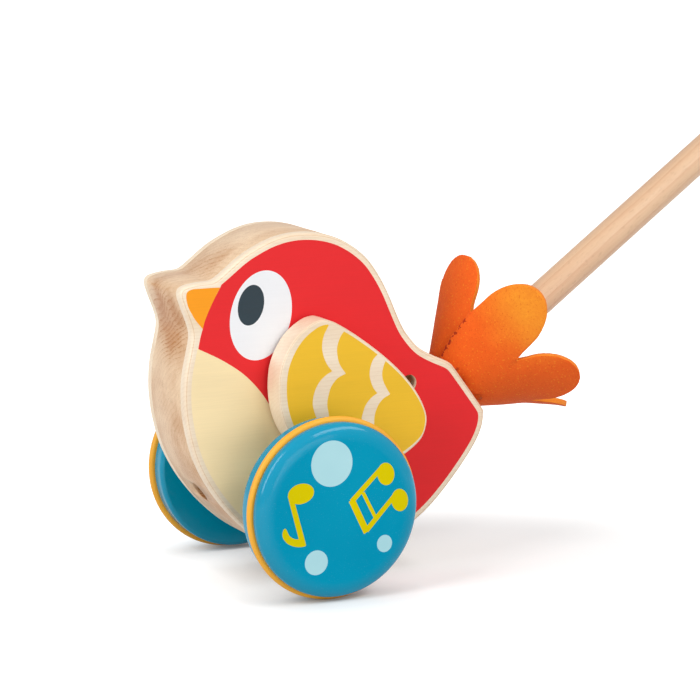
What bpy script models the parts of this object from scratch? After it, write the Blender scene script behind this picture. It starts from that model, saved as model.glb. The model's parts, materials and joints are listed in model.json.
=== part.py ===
"""A wooden push-along bird for a toddler.

Two printed side panels are glued to a hollowed centre block. Two painted wheels with rubber rings
turn with a steel axle, and a toothed flap wheel on that axle nudges a lever that lifts both wings.
A round beech stick with a turned knob stands out of the tail through a collar of felt feathers.

Units are metres. The bird looks along -X, its handle leans towards +X, -Y is the near side and
the floor is Z = 0. In the code X is counted from the axle; one parent empty then centres it all.
"""

import math

import bmesh
import bpy
from mathutils import Matrix, Vector

# Running and glue clearances
GAP = 0.0003
OVERRUN = 0.002
WELD = 0.000001

# Body: centre block with a panel on each side
BODY_LENGTH = 0.1475
BODY_HEIGHT = 0.1455
BELLY_CLEARANCE = 0.0091
AXLE_SHARE = 0.377
BLOCK_THICKNESS = 0.032
PANEL_THICKNESS = 0.005
PANEL_EDGE_RADIUS = 0.0018
INNER_EDGE_SHARE = 0.3

# Outline of the body from the lower corner of the tail's edge, under the belly, over the beak and
# the back to the upper corner. Shares of the body's length, from the beak, and of its height.
BODY_OUTLINE_SHARES = (
    (0.999, 0.385),
    (0.985, 0.335),
    (0.941, 0.265),
    (0.855, 0.162),
    (0.763, 0.083),
    (0.638, 0.021),
    (0.496, 0.000),
    (0.357, 0.020),
    (0.228, 0.095),
    (0.118, 0.211),
    (0.045, 0.343),
    (0.013, 0.487),
    (0.016, 0.604),
    (0.037, 0.711),
    (0.019, 0.779),
    (0.000, 0.836),
    (0.013, 0.861),
    (0.068, 0.871),
    (0.117, 0.879),
    (0.194, 0.937),
    (0.292, 0.985),
    (0.394, 1.000),
    (0.506, 0.977),
    (0.606, 0.907),
    (0.673, 0.801),
    (0.719, 0.698),
    (0.780, 0.621),
    (0.865, 0.577),
    (0.887, 0.563),
)
OUTLINE_STEPS = 2

# Handle, square to the straight edge at the end of the tail
HANDLE_TILT = math.radians(36.3)
TAIL_EDGE_SHARES = (0.950, 0.4785)
TAIL_EDGE_LENGTH = 0.0225
STICK_RADIUS = 0.0073
STICK_DEPTH = 0.036
HANDLE_REACH = 0.455
CROSS_PIN_RADIUS = 0.002
CROSS_PIN_SHARE = 0.5
KNOB_RADIUS = 0.018
KNOB_NECK_RADIUS = 0.0115
KNOB_NECK_LENGTH = 0.004
KNOB_FLAT_RADIUS = 0.007
KNOB_BORE_DEPTH = 0.022

# Wheels, each with a rubber ring in a groove, on one axle
TYRE_RADIUS = 0.040
TYRE_WIDTH = 0.0034
TYRE_PROUD = 0.0019
GROOVE_DEPTH = 0.0026
WHEEL_EDGE_RADIUS = 0.004
GROOVE_EDGE_RADIUS = 0.0008
BODY_TO_WHEEL = 0.0229
WHEEL_THICKNESS = 0.0187
OUTER_DISC_THICKNESS = 0.0065
AXLE_RADIUS = 0.003
AXLE_BORE_DEPTH = 0.011
BUSH_WALL = 0.0018
SPACER_WALL = 0.0035

# Wings, on one pivot rod and tied by one stop rod that rides in a curved slot
PIVOT_SHARE = 0.404
WING_TO_SPACER = 0.0022
WING_LENGTH = 0.0714
WING_HEIGHT = 0.0696
WING_THICKNESS = 0.013
WING_EDGE_RADIUS = 0.0022
WING_PIVOT_SHARES = (0.2815, 0.790)
STOP_ROD_SHARES = (0.899, 0.356)
WING_BORE_DEPTH = 0.008
WASHER_THICKNESS = 0.001
WASHER_RADIUS = 0.0075
PIVOT_ROD_RADIUS = 0.003
STOP_ROD_RADIUS = 0.003
SLOT_CLEARANCE = 0.0006
WING_SWING = math.radians(13)
SLOT_SPARE_ANGLE = math.radians(1)

# Wing outline, clockwise from the shoulder, as shares of the wing's length and height
WING_OUTLINE_SHARES = (
    (0.303, 1.000),
    (0.422, 0.947),
    (0.570, 0.846),
    (0.717, 0.728),
    (0.840, 0.608),
    (0.930, 0.489),
    (0.986, 0.379),
    (1.000, 0.292),
    (0.962, 0.185),
    (0.845, 0.095),
    (0.685, 0.022),
    (0.489, 0.000),
    (0.300, 0.060),
    (0.162, 0.170),
    (0.070, 0.295),
    (0.015, 0.438),
    (0.000, 0.592),
    (0.021, 0.737),
    (0.094, 0.876),
    (0.197, 0.966),
)

# Flap wheel on the axle and the lever that its teeth push
TEETH = 12
FLAP_WHEEL_RADIUS = 0.015
FLAP_VALLEY_RADIUS = 0.0103
FLAP_WHEEL_THICKNESS = 0.008
TOOTH_WIDTH = 0.0022
VALLEY_FLAT_SHARE = 0.55
LEVER_THICKNESS = 0.008
LEVER_HUB_RADIUS = 0.0075
LEVER_TIP_RADIUS = 0.0019
LEVER_ELBOW_RADIUS = 0.0025
LEVER_ELBOW_GAP = 0.0045
LOCK_PIN_RADIUS = 0.001
FLAP_PIN_LENGTH = 0.018
CAVITY_CLEARANCE = 0.001

# Sighting hole bored into the cavity under the chin
CHEST_HOLE_RADIUS = 0.004

# Felt collar: one die-cut flower, threaded on the stick and bent back by the tail's edge
FELT_THICKNESS = 0.0026
FELT_HUB_RADIUS = 0.0105
FELT_BEND_RADIUS = 0.005
FELT_FLARE = math.radians(37)
PETALS = 6
PETAL_REACH = 0.064
PETAL_REACH_SHARES = (1.06, 0.93, 0.98, 1.02, 0.96, 1.0)
PETAL_HALF_WIDTH = 0.0145
PETAL_TURN = math.radians(27)
PETAL_COLUMNS = 8
FELT_HUB_ROWS = 2
FELT_BEND_ROWS = 3
FELT_PETAL_ROWS = 5
PETAL_TRIM_STEP_SHARE = 0.01

# Facets round each turned piece, and the angles that part a rounded face from a sharp edge
FINE = 36
MEDIUM = 24
COARSE = 16
LEAST = 8
FLAT_ANGLE = math.radians(1)
SMOOTH_ANGLE = math.radians(40)
BEVEL_ANGLE = math.radians(50)
EDGE_FACETS = 3
BEVEL_FACETS = 2
SLOT_FACETS = 4

SIDES = (("near", -1), ("far", 1))


# Places that follow from the sizes, with X from the axle


def on_body(shares):
    """A point of the body's outline frame, from shares of its length and height."""
    return (
        (shares[0] - AXLE_SHARE) * BODY_LENGTH,
        BELLY_CLEARANCE + shares[1] * BODY_HEIGHT,
    )


def from_pivot(radius, angle):
    return (PIVOT[0] + radius * math.cos(angle), PIVOT[1] + radius * math.sin(angle))


AXLE = (0.0, TYRE_RADIUS)
SPACER_RADIUS = AXLE_RADIUS + GAP + SPACER_WALL
WING_BOTTOM = AXLE[1] + SPACER_RADIUS + WING_TO_SPACER
PIVOT = (
    (PIVOT_SHARE - AXLE_SHARE) * BODY_LENGTH,
    WING_BOTTOM + WING_PIVOT_SHARES[1] * WING_HEIGHT,
)
TAIL_EDGE = on_body(TAIL_EDGE_SHARES)
ALONG_HANDLE = (math.cos(HANDLE_TILT), math.sin(HANDLE_TILT))
ACROSS_HANDLE = (-math.sin(HANDLE_TILT), math.cos(HANDLE_TILT))

BLOCK_FACE = BLOCK_THICKNESS / 2
PANEL_BACK = BLOCK_FACE + GAP
PANEL_FACE = PANEL_BACK + PANEL_THICKNESS
WING_BACK = PANEL_FACE + GAP + WASHER_THICKNESS + GAP
ROD_END = WING_BACK + WING_BORE_DEPTH - GAP

STOP_OFFSET = (
    (STOP_ROD_SHARES[0] - WING_PIVOT_SHARES[0]) * WING_LENGTH,
    (STOP_ROD_SHARES[1] - WING_PIVOT_SHARES[1]) * WING_HEIGHT,
)
SLOT_RADIUS = math.hypot(*STOP_OFFSET)
STOP_ANGLE = math.atan2(STOP_OFFSET[1], STOP_OFFSET[0])
STOP_ROD = from_pivot(SLOT_RADIUS, STOP_ANGLE)
SLOT_HALF_WIDTH = STOP_ROD_RADIUS + SLOT_CLEARANCE

# The lever hangs past the flap wheel, and its finger rests in the valley that faces the tail
LEVER_TIP = (FLAP_VALLEY_RADIUS + GAP + LEVER_TIP_RADIUS, AXLE[1])
LEVER_ELBOW = (FLAP_WHEEL_RADIUS + LEVER_ELBOW_GAP, AXLE[1])
ELBOW_ANGLE = math.atan2(LEVER_ELBOW[1] - PIVOT[1], LEVER_ELBOW[0] - PIVOT[0])
ELBOW_LIFTED = from_pivot(math.dist(PIVOT, LEVER_ELBOW), ELBOW_ANGLE + WING_SWING)

WHEEL_INNER_FACE = PANEL_FACE + BODY_TO_WHEEL
WHEEL_OUTER_FACE = WHEEL_INNER_FACE + WHEEL_THICKNESS
WHEEL_RADIUS = TYRE_RADIUS - TYRE_PROUD
GROOVE_FLOOR_RADIUS = WHEEL_RADIUS - GROOVE_DEPTH
GROOVE_WIDTH = TYRE_WIDTH + 2 * GAP
GROOVE_OUTER = WHEEL_OUTER_FACE - OUTER_DISC_THICKNESS
GROOVE_INNER = GROOVE_OUTER - GROOVE_WIDTH
AXLE_END = WHEEL_INNER_FACE + AXLE_BORE_DEPTH - GAP


# Outlines


def smooth_through(points, steps, closed):
    """Catmull-Rom points through a list of points, steps to each stretch."""
    count = len(points)
    last = count if closed else count - 1
    smooth = []
    for i in range(last):
        if closed:
            four = [points[(i + k) % count] for k in (-1, 0, 1, 2)]
        else:
            four = [points[min(max(i + k, 0), count - 1)] for k in (-1, 0, 1, 2)]
        a, b, c, d = (Vector(p) for p in four)
        for step in range(steps):
            t = step / steps
            spot = b * 2 + (c - a) * t + (a * 2 - b * 5 + c * 4 - d) * t**2
            smooth.append(tuple((spot + (b * 3 - a - c * 3 + d) * t**3) / 2))
    return smooth if closed else smooth + [tuple(points[-1])]


def circle(centre, radius, count):
    turns = [math.tau * i / count for i in range(count)]
    return [(centre[0] + radius * math.cos(a), centre[1] + radius * math.sin(a)) for a in turns]


def arc(centre, radius, start, end, count):
    turns = [start + (end - start) * i / count for i in range(count + 1)]
    return [(centre[0] + radius * math.cos(a), centre[1] + radius * math.sin(a)) for a in turns]


def band_round(circles):
    """The outline of a band stretched round several circles, each a centre and a radius."""
    points = sorted(p for centre, radius in circles for p in circle(centre, radius, COARSE))

    def chain(ordered):
        kept = []
        for p in ordered:
            while len(kept) > 1 and turn(kept[-2], kept[-1], p) <= 0:
                kept.pop()
            kept.append(p)
        return kept[:-1]

    return chain(points) + chain(points[::-1])


def turn(a, b, c):
    return (b[0] - a[0]) * (c[1] - a[1]) - (b[1] - a[1]) * (c[0] - a[0])


def tail_corner(side):
    half = side * TAIL_EDGE_LENGTH / 2
    return (TAIL_EDGE[0] + half * ACROSS_HANDLE[0], TAIL_EDGE[1] + half * ACROSS_HANDLE[1])


def body_outline():
    points = [tail_corner(-1), *map(on_body, BODY_OUTLINE_SHARES), tail_corner(1)]
    return smooth_through(points, OUTLINE_STEPS, closed=False)


def wing_outline():
    corner = (
        PIVOT[0] - WING_PIVOT_SHARES[0] * WING_LENGTH,
        PIVOT[1] - WING_PIVOT_SHARES[1] * WING_HEIGHT,
    )
    points = [
        (corner[0] + along * WING_LENGTH, corner[1] + up * WING_HEIGHT)
        for along, up in WING_OUTLINE_SHARES
    ]
    return smooth_through(points, OUTLINE_STEPS, closed=True)


def slot_outline():
    """The curved slot that the stop rod sweeps, with round ends."""
    low = STOP_ANGLE - SLOT_SPARE_ANGLE
    high = STOP_ANGLE + WING_SWING
    half_turn = math.pi
    outer = arc(PIVOT, SLOT_RADIUS + SLOT_HALF_WIDTH, low, high, SLOT_FACETS)
    upper = arc(from_pivot(SLOT_RADIUS, high), SLOT_HALF_WIDTH, high, high + half_turn, LEAST)
    inner = arc(PIVOT, SLOT_RADIUS - SLOT_HALF_WIDTH, high, low, SLOT_FACETS)
    lower = arc(
        from_pivot(SLOT_RADIUS, low), SLOT_HALF_WIDTH, low + half_turn, low + 2 * half_turn, LEAST
    )
    return outer + upper[1:-1] + inner + lower[1:-1]


def cavity_outline():
    return band_round(
        (
            (AXLE, FLAP_WHEEL_RADIUS + CAVITY_CLEARANCE),
            (PIVOT, LEVER_HUB_RADIUS + CAVITY_CLEARANCE),
            (ELBOW_LIFTED, LEVER_ELBOW_RADIUS + CAVITY_CLEARANCE),
        )
    )


def flap_wheel_outline():
    """Straight teeth of one width, with a valley that faces the lever at rest."""
    pitch = math.tau / TEETH
    outer_half = math.asin(TOOTH_WIDTH / 2 / FLAP_WHEEL_RADIUS)
    valley_half = pitch / 2 * VALLEY_FLAT_SHARE
    points = []
    for tooth in range(TEETH):
        middle = (tooth + 0.5) * pitch
        points += circle_points(FLAP_WHEEL_RADIUS, (middle - outer_half, middle + outer_half))
        valley = middle + pitch / 2
        points += circle_points(FLAP_VALLEY_RADIUS, (valley - valley_half, valley, valley + valley_half))
    return points


def circle_points(radius, angles):
    return [(AXLE[0] + radius * math.cos(a), AXLE[1] + radius * math.sin(a)) for a in angles]


# Making meshes


def finish(name, colour, roughness, metallic=0.0):
    material = bpy.data.materials.new(name)
    material.use_nodes = True
    shader = material.node_tree.nodes["Principled BSDF"]
    shader.inputs["Base Color"].default_value = (*colour, 1)
    shader.inputs["Roughness"].default_value = roughness
    shader.inputs["Metallic"].default_value = metallic
    material.diffuse_color = (*colour, 1)
    return material


def place(name, mesh, material, parent, at):
    """A part, placed in axle coordinates and carried by its parent empty."""
    obj = bpy.data.objects.new(name, mesh)
    PARTS.objects.link(obj)
    mesh.materials.append(material)
    carry(obj, parent, at)
    return obj


def carry(obj, parent, at):
    obj.parent = parent
    obj.matrix_parent_inverse = Matrix.Translation(-parent.location if parent is not FRAME else (0, 0, 0))
    obj.matrix_basis = at


def cutter(name, mesh, at):
    obj = bpy.data.objects.new(name, mesh)
    CUTTERS.objects.link(obj)
    carry(obj, FRAME, at)
    obj.hide_render = True
    obj.display_type = "WIRE"
    return obj


def cut(obj, *tools, operation="DIFFERENCE"):
    for tool in tools:
        modifier = obj.modifiers.new(tool.name, "BOOLEAN")
        modifier.operation = operation
        modifier.solver = "EXACT"
        modifier.object = tool


def plate_mesh(name, outline, thickness):
    """A flat outline in X and Z given a thickness along Y, and the matrix that stands it up."""
    curve = bpy.data.curves.new(name, "CURVE")
    curve.dimensions = "2D"
    curve.fill_mode = "BOTH"
    curve.extrude = thickness / 2
    spline = curve.splines.new("POLY")
    spline.points.add(len(outline) - 1)
    for point, (x, z) in zip(spline.points, outline):
        point.co = (x, z, 0, 1)
    spline.use_cyclic_u = True
    drawn = bpy.data.objects.new(name + "_outline", curve)
    bpy.context.scene.collection.objects.link(drawn)
    drawn.rotation_euler.x = math.pi / 2
    bpy.context.view_layer.update()
    mesh = bpy.data.meshes.new_from_object(drawn.evaluated_get(bpy.context.evaluated_depsgraph_get()))
    standing = drawn.matrix_world.copy()
    bpy.data.objects.remove(drawn)
    form = bmesh.new()
    form.from_mesh(mesh)
    bmesh.ops.remove_doubles(form, verts=form.verts, dist=WELD)
    bmesh.ops.dissolve_limit(form, angle_limit=FLAT_ANGLE, verts=form.verts, edges=form.edges)
    bmesh.ops.recalc_face_normals(form, faces=form.faces)
    form.to_mesh(mesh)
    form.free()
    mesh.materials.clear()
    return mesh, standing


def plate(name, outline, middle, thickness, material, parent):
    mesh, standing = plate_mesh(name, outline, thickness)
    return place(name, mesh, material, parent, Matrix.Translation((0, middle, 0)) @ standing)


def plate_cutter(name, outline, thickness):
    mesh, standing = plate_mesh(name, outline, thickness)
    return cutter(name, mesh, standing)


def cylinder_mesh(name, radius, length, facets):
    form = bmesh.new()
    bmesh.ops.create_cone(
        form, cap_ends=True, segments=facets, radius1=radius, radius2=radius, depth=length
    )
    mesh = bpy.data.meshes.new(name)
    form.to_mesh(mesh)
    form.free()
    return mesh


def pointing(spot, direction):
    """A matrix whose +Z lies along direction, at a spot (x, y, z)."""
    turned = Vector(direction).to_track_quat("Z", "Y").to_matrix().to_4x4()
    return Matrix.Translation(spot) @ turned


def rod(name, spot, direction, length, radius, facets, material, parent):
    mesh = cylinder_mesh(name, radius, length, facets)
    mesh.shade_smooth()
    mesh.set_sharp_from_angle(angle=SMOOTH_ANGLE)
    return place(name, mesh, material, parent, pointing(spot, direction))


def drill(name, spot, direction, length, radius, facets=COARSE):
    return cutter(name, cylinder_mesh(name, radius, length, facets), pointing(spot, direction))


def turned(name, profile, closed, spot, direction, facets, material, parent):
    """A turned piece from its profile of (radius, height), run down its outer side."""
    mesh = bpy.data.meshes.new(name)
    edges = [(i, i + 1) for i in range(len(profile) - 1)]
    if closed:
        edges.append((len(profile) - 1, 0))
    mesh.from_pydata([(radius, 0, height) for radius, height in profile], edges, [])
    obj = place(name, mesh, material, parent, pointing(spot, direction))
    screw = obj.modifiers.new("turned", "SCREW")
    screw.axis = "Z"
    screw.steps = facets
    screw.render_steps = facets
    screw.use_merge_vertices = True
    screw.merge_threshold = WELD
    screw.use_smooth_shade = True
    return obj


def ring(name, inner, outer, low, high, spot, direction, facets, material, parent):
    profile = [(outer, high), (outer, low), (inner, low), (inner, high)]
    return turned(name, profile, True, spot, direction, facets, material, parent)


def round_edges(obj, width, segments):
    bevel = obj.modifiers.new("rounded edges", "BEVEL")
    bevel.width = width
    bevel.segments = segments
    bevel.limit_method = "ANGLE"
    bevel.angle_limit = BEVEL_ANGLE
    return bevel


def round_rims(obj, width, segments, outward):
    """Rounds a plate's two rims, the one on its outward side more than the other."""
    bevel = obj.modifiers.new("rounded rims", "BEVEL")
    bevel.width = width
    bevel.segments = segments
    bevel.limit_method = "WEIGHT"
    mesh = obj.data
    weights = mesh.attributes.new("bevel_weight_edge", "FLOAT", "EDGE")
    for edge in mesh.edges:
        heights = [mesh.vertices[v].co.z for v in edge.vertices]
        if heights[0] * heights[1] > 0:
            weights.data[edge.index].value = 1 if heights[0] * outward > 0 else INNER_EDGE_SHARE


# Body


def build_body():
    outline = body_outline()
    block = plate("centre_block", outline, 0, BLOCK_THICKNESS, MAPLE, FRAME)
    through = BLOCK_THICKNESS + 2 * PANEL_THICKNESS + 2 * OVERRUN
    slot = plate_cutter("stop_rod_slot", slot_outline(), through)
    cut(block, plate_cutter("cavity", cavity_outline(), BLOCK_THICKNESS + OVERRUN), slot)
    for name, side in SIDES:
        middle = side * (PANEL_BACK + PANEL_FACE) / 2
        panel = plate(name + "_side_panel", outline, middle, PANEL_THICKNESS, RED_PRINT, FRAME)
        round_rims(panel, PANEL_EDGE_RADIUS, BEVEL_FACETS, -side)
        cut(panel, slot)
        for use, spot, shaft in (("axle", AXLE, AXLE_RADIUS), ("pivot", PIVOT, PIVOT_ROD_RADIUS)):
            wall = shaft + GAP + BUSH_WALL
            centre = (spot[0], side * PANEL_BACK, spot[1])
            mouth = (spot[0], side * (PANEL_BACK + PANEL_FACE) / 2, spot[1])
            hole = drill(
                f"{name}_{use}_hole", mouth, (0, 1, 0), PANEL_THICKNESS + OVERRUN, wall + GAP
            )
            cut(panel, hole)
            ring(
                f"{name}_{use}_bush",
                shaft + GAP,
                wall,
                0,
                PANEL_THICKNESS,
                centre,
                (0, side, 0),
                COARSE,
                NYLON,
                FRAME,
            )
    return block


def bore_block(block, cross_pin_hole):
    """The stick's bore, its pin's hole and the hole under the chin."""
    depth = STICK_DEPTH + GAP
    mouth = handle_spot((OVERRUN - depth) / 2)
    stick_bore = drill("stick_bore", mouth, handle_axis(), depth + OVERRUN, STICK_RADIUS + GAP, FINE)
    front = -AXLE_SHARE * BODY_LENGTH
    back = AXLE[0] - FLAP_WHEEL_RADIUS
    chest_hole = drill(
        "chest_hole", ((front + back) / 2, 0, AXLE[1]), (1, 0, 0), back - front, CHEST_HOLE_RADIUS
    )
    cut(block, stick_bore, cross_pin_hole, chest_hole)


# Handle


def handle_axis():
    return (ALONG_HANDLE[0], 0, ALONG_HANDLE[1])


def handle_spot(along):
    """A point of the handle's axis, measured from the tail's edge."""
    return (TAIL_EDGE[0] + along * ALONG_HANDLE[0], 0, TAIL_EDGE[1] + along * ALONG_HANDLE[1])


def knob_profile():
    """Ball with a short neck, a small flat on its end and a blind bore for the stick."""
    neck_angle = math.pi - math.asin(KNOB_NECK_RADIUS / KNOB_RADIUS)
    flat_angle = math.asin(KNOB_FLAT_RADIUS / KNOB_RADIUS)
    centre = KNOB_NECK_LENGTH - KNOB_RADIUS * math.cos(neck_angle)
    angles = [flat_angle + (neck_angle - flat_angle) * i / LEAST for i in range(LEAST + 1)]
    ball = [(KNOB_RADIUS * math.sin(a), centre + KNOB_RADIUS * math.cos(a)) for a in angles]
    bore = STICK_RADIUS + GAP
    return [
        (0, ball[0][1]),
        *ball,
        (KNOB_NECK_RADIUS, 0),
        (bore, 0),
        (bore, KNOB_BORE_DEPTH),
        (0, KNOB_BORE_DEPTH),
    ]


def build_handle():
    inner_end = -STICK_DEPTH
    outer_end = HANDLE_REACH + KNOB_BORE_DEPTH - GAP
    middle = handle_spot((inner_end + outer_end) / 2)
    stick = rod(
        "handle_stick",
        middle,
        handle_axis(),
        outer_end - inner_end,
        STICK_RADIUS,
        MEDIUM,
        BEECH,
        FRAME,
    )
    pin_spot = handle_spot(-CROSS_PIN_SHARE * STICK_DEPTH)
    pin_hole = drill(
        "cross_pin_hole", pin_spot, (0, 1, 0), BLOCK_THICKNESS + OVERRUN, CROSS_PIN_RADIUS + GAP
    )
    cut(stick, pin_hole)
    rod(
        "handle_cross_pin",
        pin_spot,
        (0, 1, 0),
        BLOCK_THICKNESS - 2 * GAP,
        CROSS_PIN_RADIUS,
        LEAST,
        BEECH,
        FRAME,
    )
    turned(
        "handle_knob",
        knob_profile(),
        False,
        handle_spot(HANDLE_REACH),
        handle_axis(),
        COARSE,
        BEECH,
        FRAME,
    )
    return pin_hole


# Felt tail


def felt_profile(flat):
    """Where felt cut at a flat radius ends up: (distance along the handle, distance from it)."""
    start = GAP + FELT_THICKNESS / 2
    if flat <= FELT_HUB_RADIUS:
        return start, flat
    sweep = min((flat - FELT_HUB_RADIUS) / FELT_BEND_RADIUS, math.pi / 2 - FELT_FLARE)
    along = start + FELT_BEND_RADIUS * (1 - math.cos(sweep))
    off = FELT_HUB_RADIUS + FELT_BEND_RADIUS * math.sin(sweep)
    beyond = flat - FELT_HUB_RADIUS - FELT_BEND_RADIUS * sweep
    return along + beyond * math.sin(sweep), off + beyond * math.cos(sweep)


def petal_end(reach, offset):
    """The flat radius at which the felt ends, at an angle away from a petal's middle."""
    flat = reach
    cap = reach - PETAL_HALF_WIDTH
    while True:
        sideways = felt_profile(flat)[1] * abs(offset)
        if sideways <= PETAL_HALF_WIDTH and (
            flat <= cap or math.hypot(flat - cap, sideways) <= PETAL_HALF_WIDTH
        ):
            return flat
        flat -= reach * PETAL_TRIM_STEP_SHARE


def build_felt():
    inner = STICK_RADIUS + GAP
    bend_end = FELT_HUB_RADIUS + FELT_BEND_RADIUS * (math.pi / 2 - FELT_FLARE)
    fixed = [inner + (FELT_HUB_RADIUS - inner) * i / FELT_HUB_ROWS for i in range(FELT_HUB_ROWS)]
    fixed += [
        FELT_HUB_RADIUS + (bend_end - FELT_HUB_RADIUS) * i / FELT_BEND_ROWS
        for i in range(FELT_BEND_ROWS)
    ]
    columns = PETALS * PETAL_COLUMNS
    form = bmesh.new()
    grid = []
    for column in range(columns):
        turned_by = math.tau * column / columns
        petal = (column + PETAL_COLUMNS // 2) // PETAL_COLUMNS % PETALS
        offset = (turned_by + math.pi / PETALS) % (math.tau / PETALS) - math.pi / PETALS
        reach = petal_end(PETAL_REACH * PETAL_REACH_SHARES[petal], offset)
        rows = fixed + [
            bend_end + (reach - bend_end) * i / FELT_PETAL_ROWS for i in range(FELT_PETAL_ROWS + 1)
        ]
        angle = PETAL_TURN + turned_by
        line = []
        for flat in rows:
            along, off = felt_profile(flat)
            line.append(form.verts.new((-off * math.cos(angle), off * math.sin(angle), along)))
        grid.append(line)
    for column in range(columns):
        near, far = grid[column], grid[(column + 1) % columns]
        for row in range(len(near) - 1):
            form.faces.new((near[row], near[row + 1], far[row + 1], far[row]))
    bmesh.ops.recalc_face_normals(form, faces=form.faces)
    mesh = bpy.data.meshes.new("felt_tail")
    form.to_mesh(mesh)
    form.free()
    mesh.shade_smooth()
    # Local X is the toy's +Y, so the petals' turn is counted from the near side upwards
    across = Matrix(
        (
            (0, ACROSS_HANDLE[0], ALONG_HANDLE[0], TAIL_EDGE[0]),
            (1, 0, 0, 0),
            (0, ACROSS_HANDLE[1], ALONG_HANDLE[1], TAIL_EDGE[1]),
            (0, 0, 0, 1),
        )
    )
    tail = place("felt_tail", mesh, ORANGE_FELT, FRAME, across)
    thick = tail.modifiers.new("thickness", "SOLIDIFY")
    thick.thickness = FELT_THICKNESS
    thick.offset = 0


# Wheels


def wheel_profile():
    """Outer disc, groove and inner rim, with a blind bore for the axle, outward face on top."""
    radius, edge, small = WHEEL_RADIUS, WHEEL_EDGE_RADIUS, GROOVE_EDGE_RADIUS
    quarter = math.pi / 2
    bore = AXLE_RADIUS + GAP
    top = WHEEL_OUTER_FACE
    low = WHEEL_INNER_FACE
    return [
        (0, top),
        *arc((radius - edge, top - edge), edge, quarter, 0, EDGE_FACETS),
        *arc((radius - small, GROOVE_OUTER + small), small, 0, -quarter, 1),
        (GROOVE_FLOOR_RADIUS, GROOVE_OUTER),
        (GROOVE_FLOOR_RADIUS, GROOVE_INNER),
        *arc((radius - small, GROOVE_INNER - small), small, quarter, 0, 1),
        *arc((radius - edge, low + edge), edge, 0, -quarter, EDGE_FACETS),
        (bore, low),
        (bore, low + AXLE_BORE_DEPTH),
        (0, low + AXLE_BORE_DEPTH),
    ]


def tyre_profile():
    """A rubber ring with a round outer side, seated in the groove."""
    half = TYRE_WIDTH / 2
    middle = (GROOVE_OUTER + GROOVE_INNER) / 2
    crown = arc((TYRE_RADIUS - half, middle), half, math.pi / 2, -math.pi / 2, 2 * EDGE_FACETS)
    inner = GROOVE_FLOOR_RADIUS + GAP
    return [*crown, (inner, middle - half), (inner, middle + half)]


def build_wheels():
    middle = (AXLE[0], 0, AXLE[1])
    axle = rod("axle", middle, (0, 1, 0), 2 * AXLE_END, AXLE_RADIUS, COARSE, STEEL, WHEEL_AXIS)
    for name, side in SIDES:
        out = (0, side, 0)
        turned(name + "_wheel", wheel_profile(), False, middle, out, FINE, TEAL_PAINT, WHEEL_AXIS)
        turned(name + "_tyre_ring", tyre_profile(), True, middle, out, FINE, YELLOW_RUBBER, WHEEL_AXIS)
        ring(
            name + "_wheel_spacer",
            AXLE_RADIUS + GAP,
            SPACER_RADIUS,
            PANEL_FACE + GAP,
            WHEEL_INNER_FACE - GAP,
            middle,
            out,
            COARSE,
            BEECH,
            WHEEL_AXIS,
        )
    star = plate("flap_wheel", flap_wheel_outline(), 0, FLAP_WHEEL_THICKNESS, NYLON, WHEEL_AXIS)
    bore = drill("flap_wheel_bore", middle, (0, 1, 0), FLAP_WHEEL_THICKNESS + OVERRUN, AXLE_RADIUS + GAP)
    pin_hole = drill(
        "flap_pin_hole", middle, (0, 0, 1), 2 * FLAP_WHEEL_RADIUS, LOCK_PIN_RADIUS + GAP, LEAST
    )
    cut(star, bore, pin_hole)
    cut(axle, pin_hole)
    rod(
        "flap_wheel_pin",
        middle,
        (0, 0, 1),
        FLAP_PIN_LENGTH,
        LOCK_PIN_RADIUS,
        LEAST,
        STEEL,
        WHEEL_AXIS,
    )


# Wings


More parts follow.
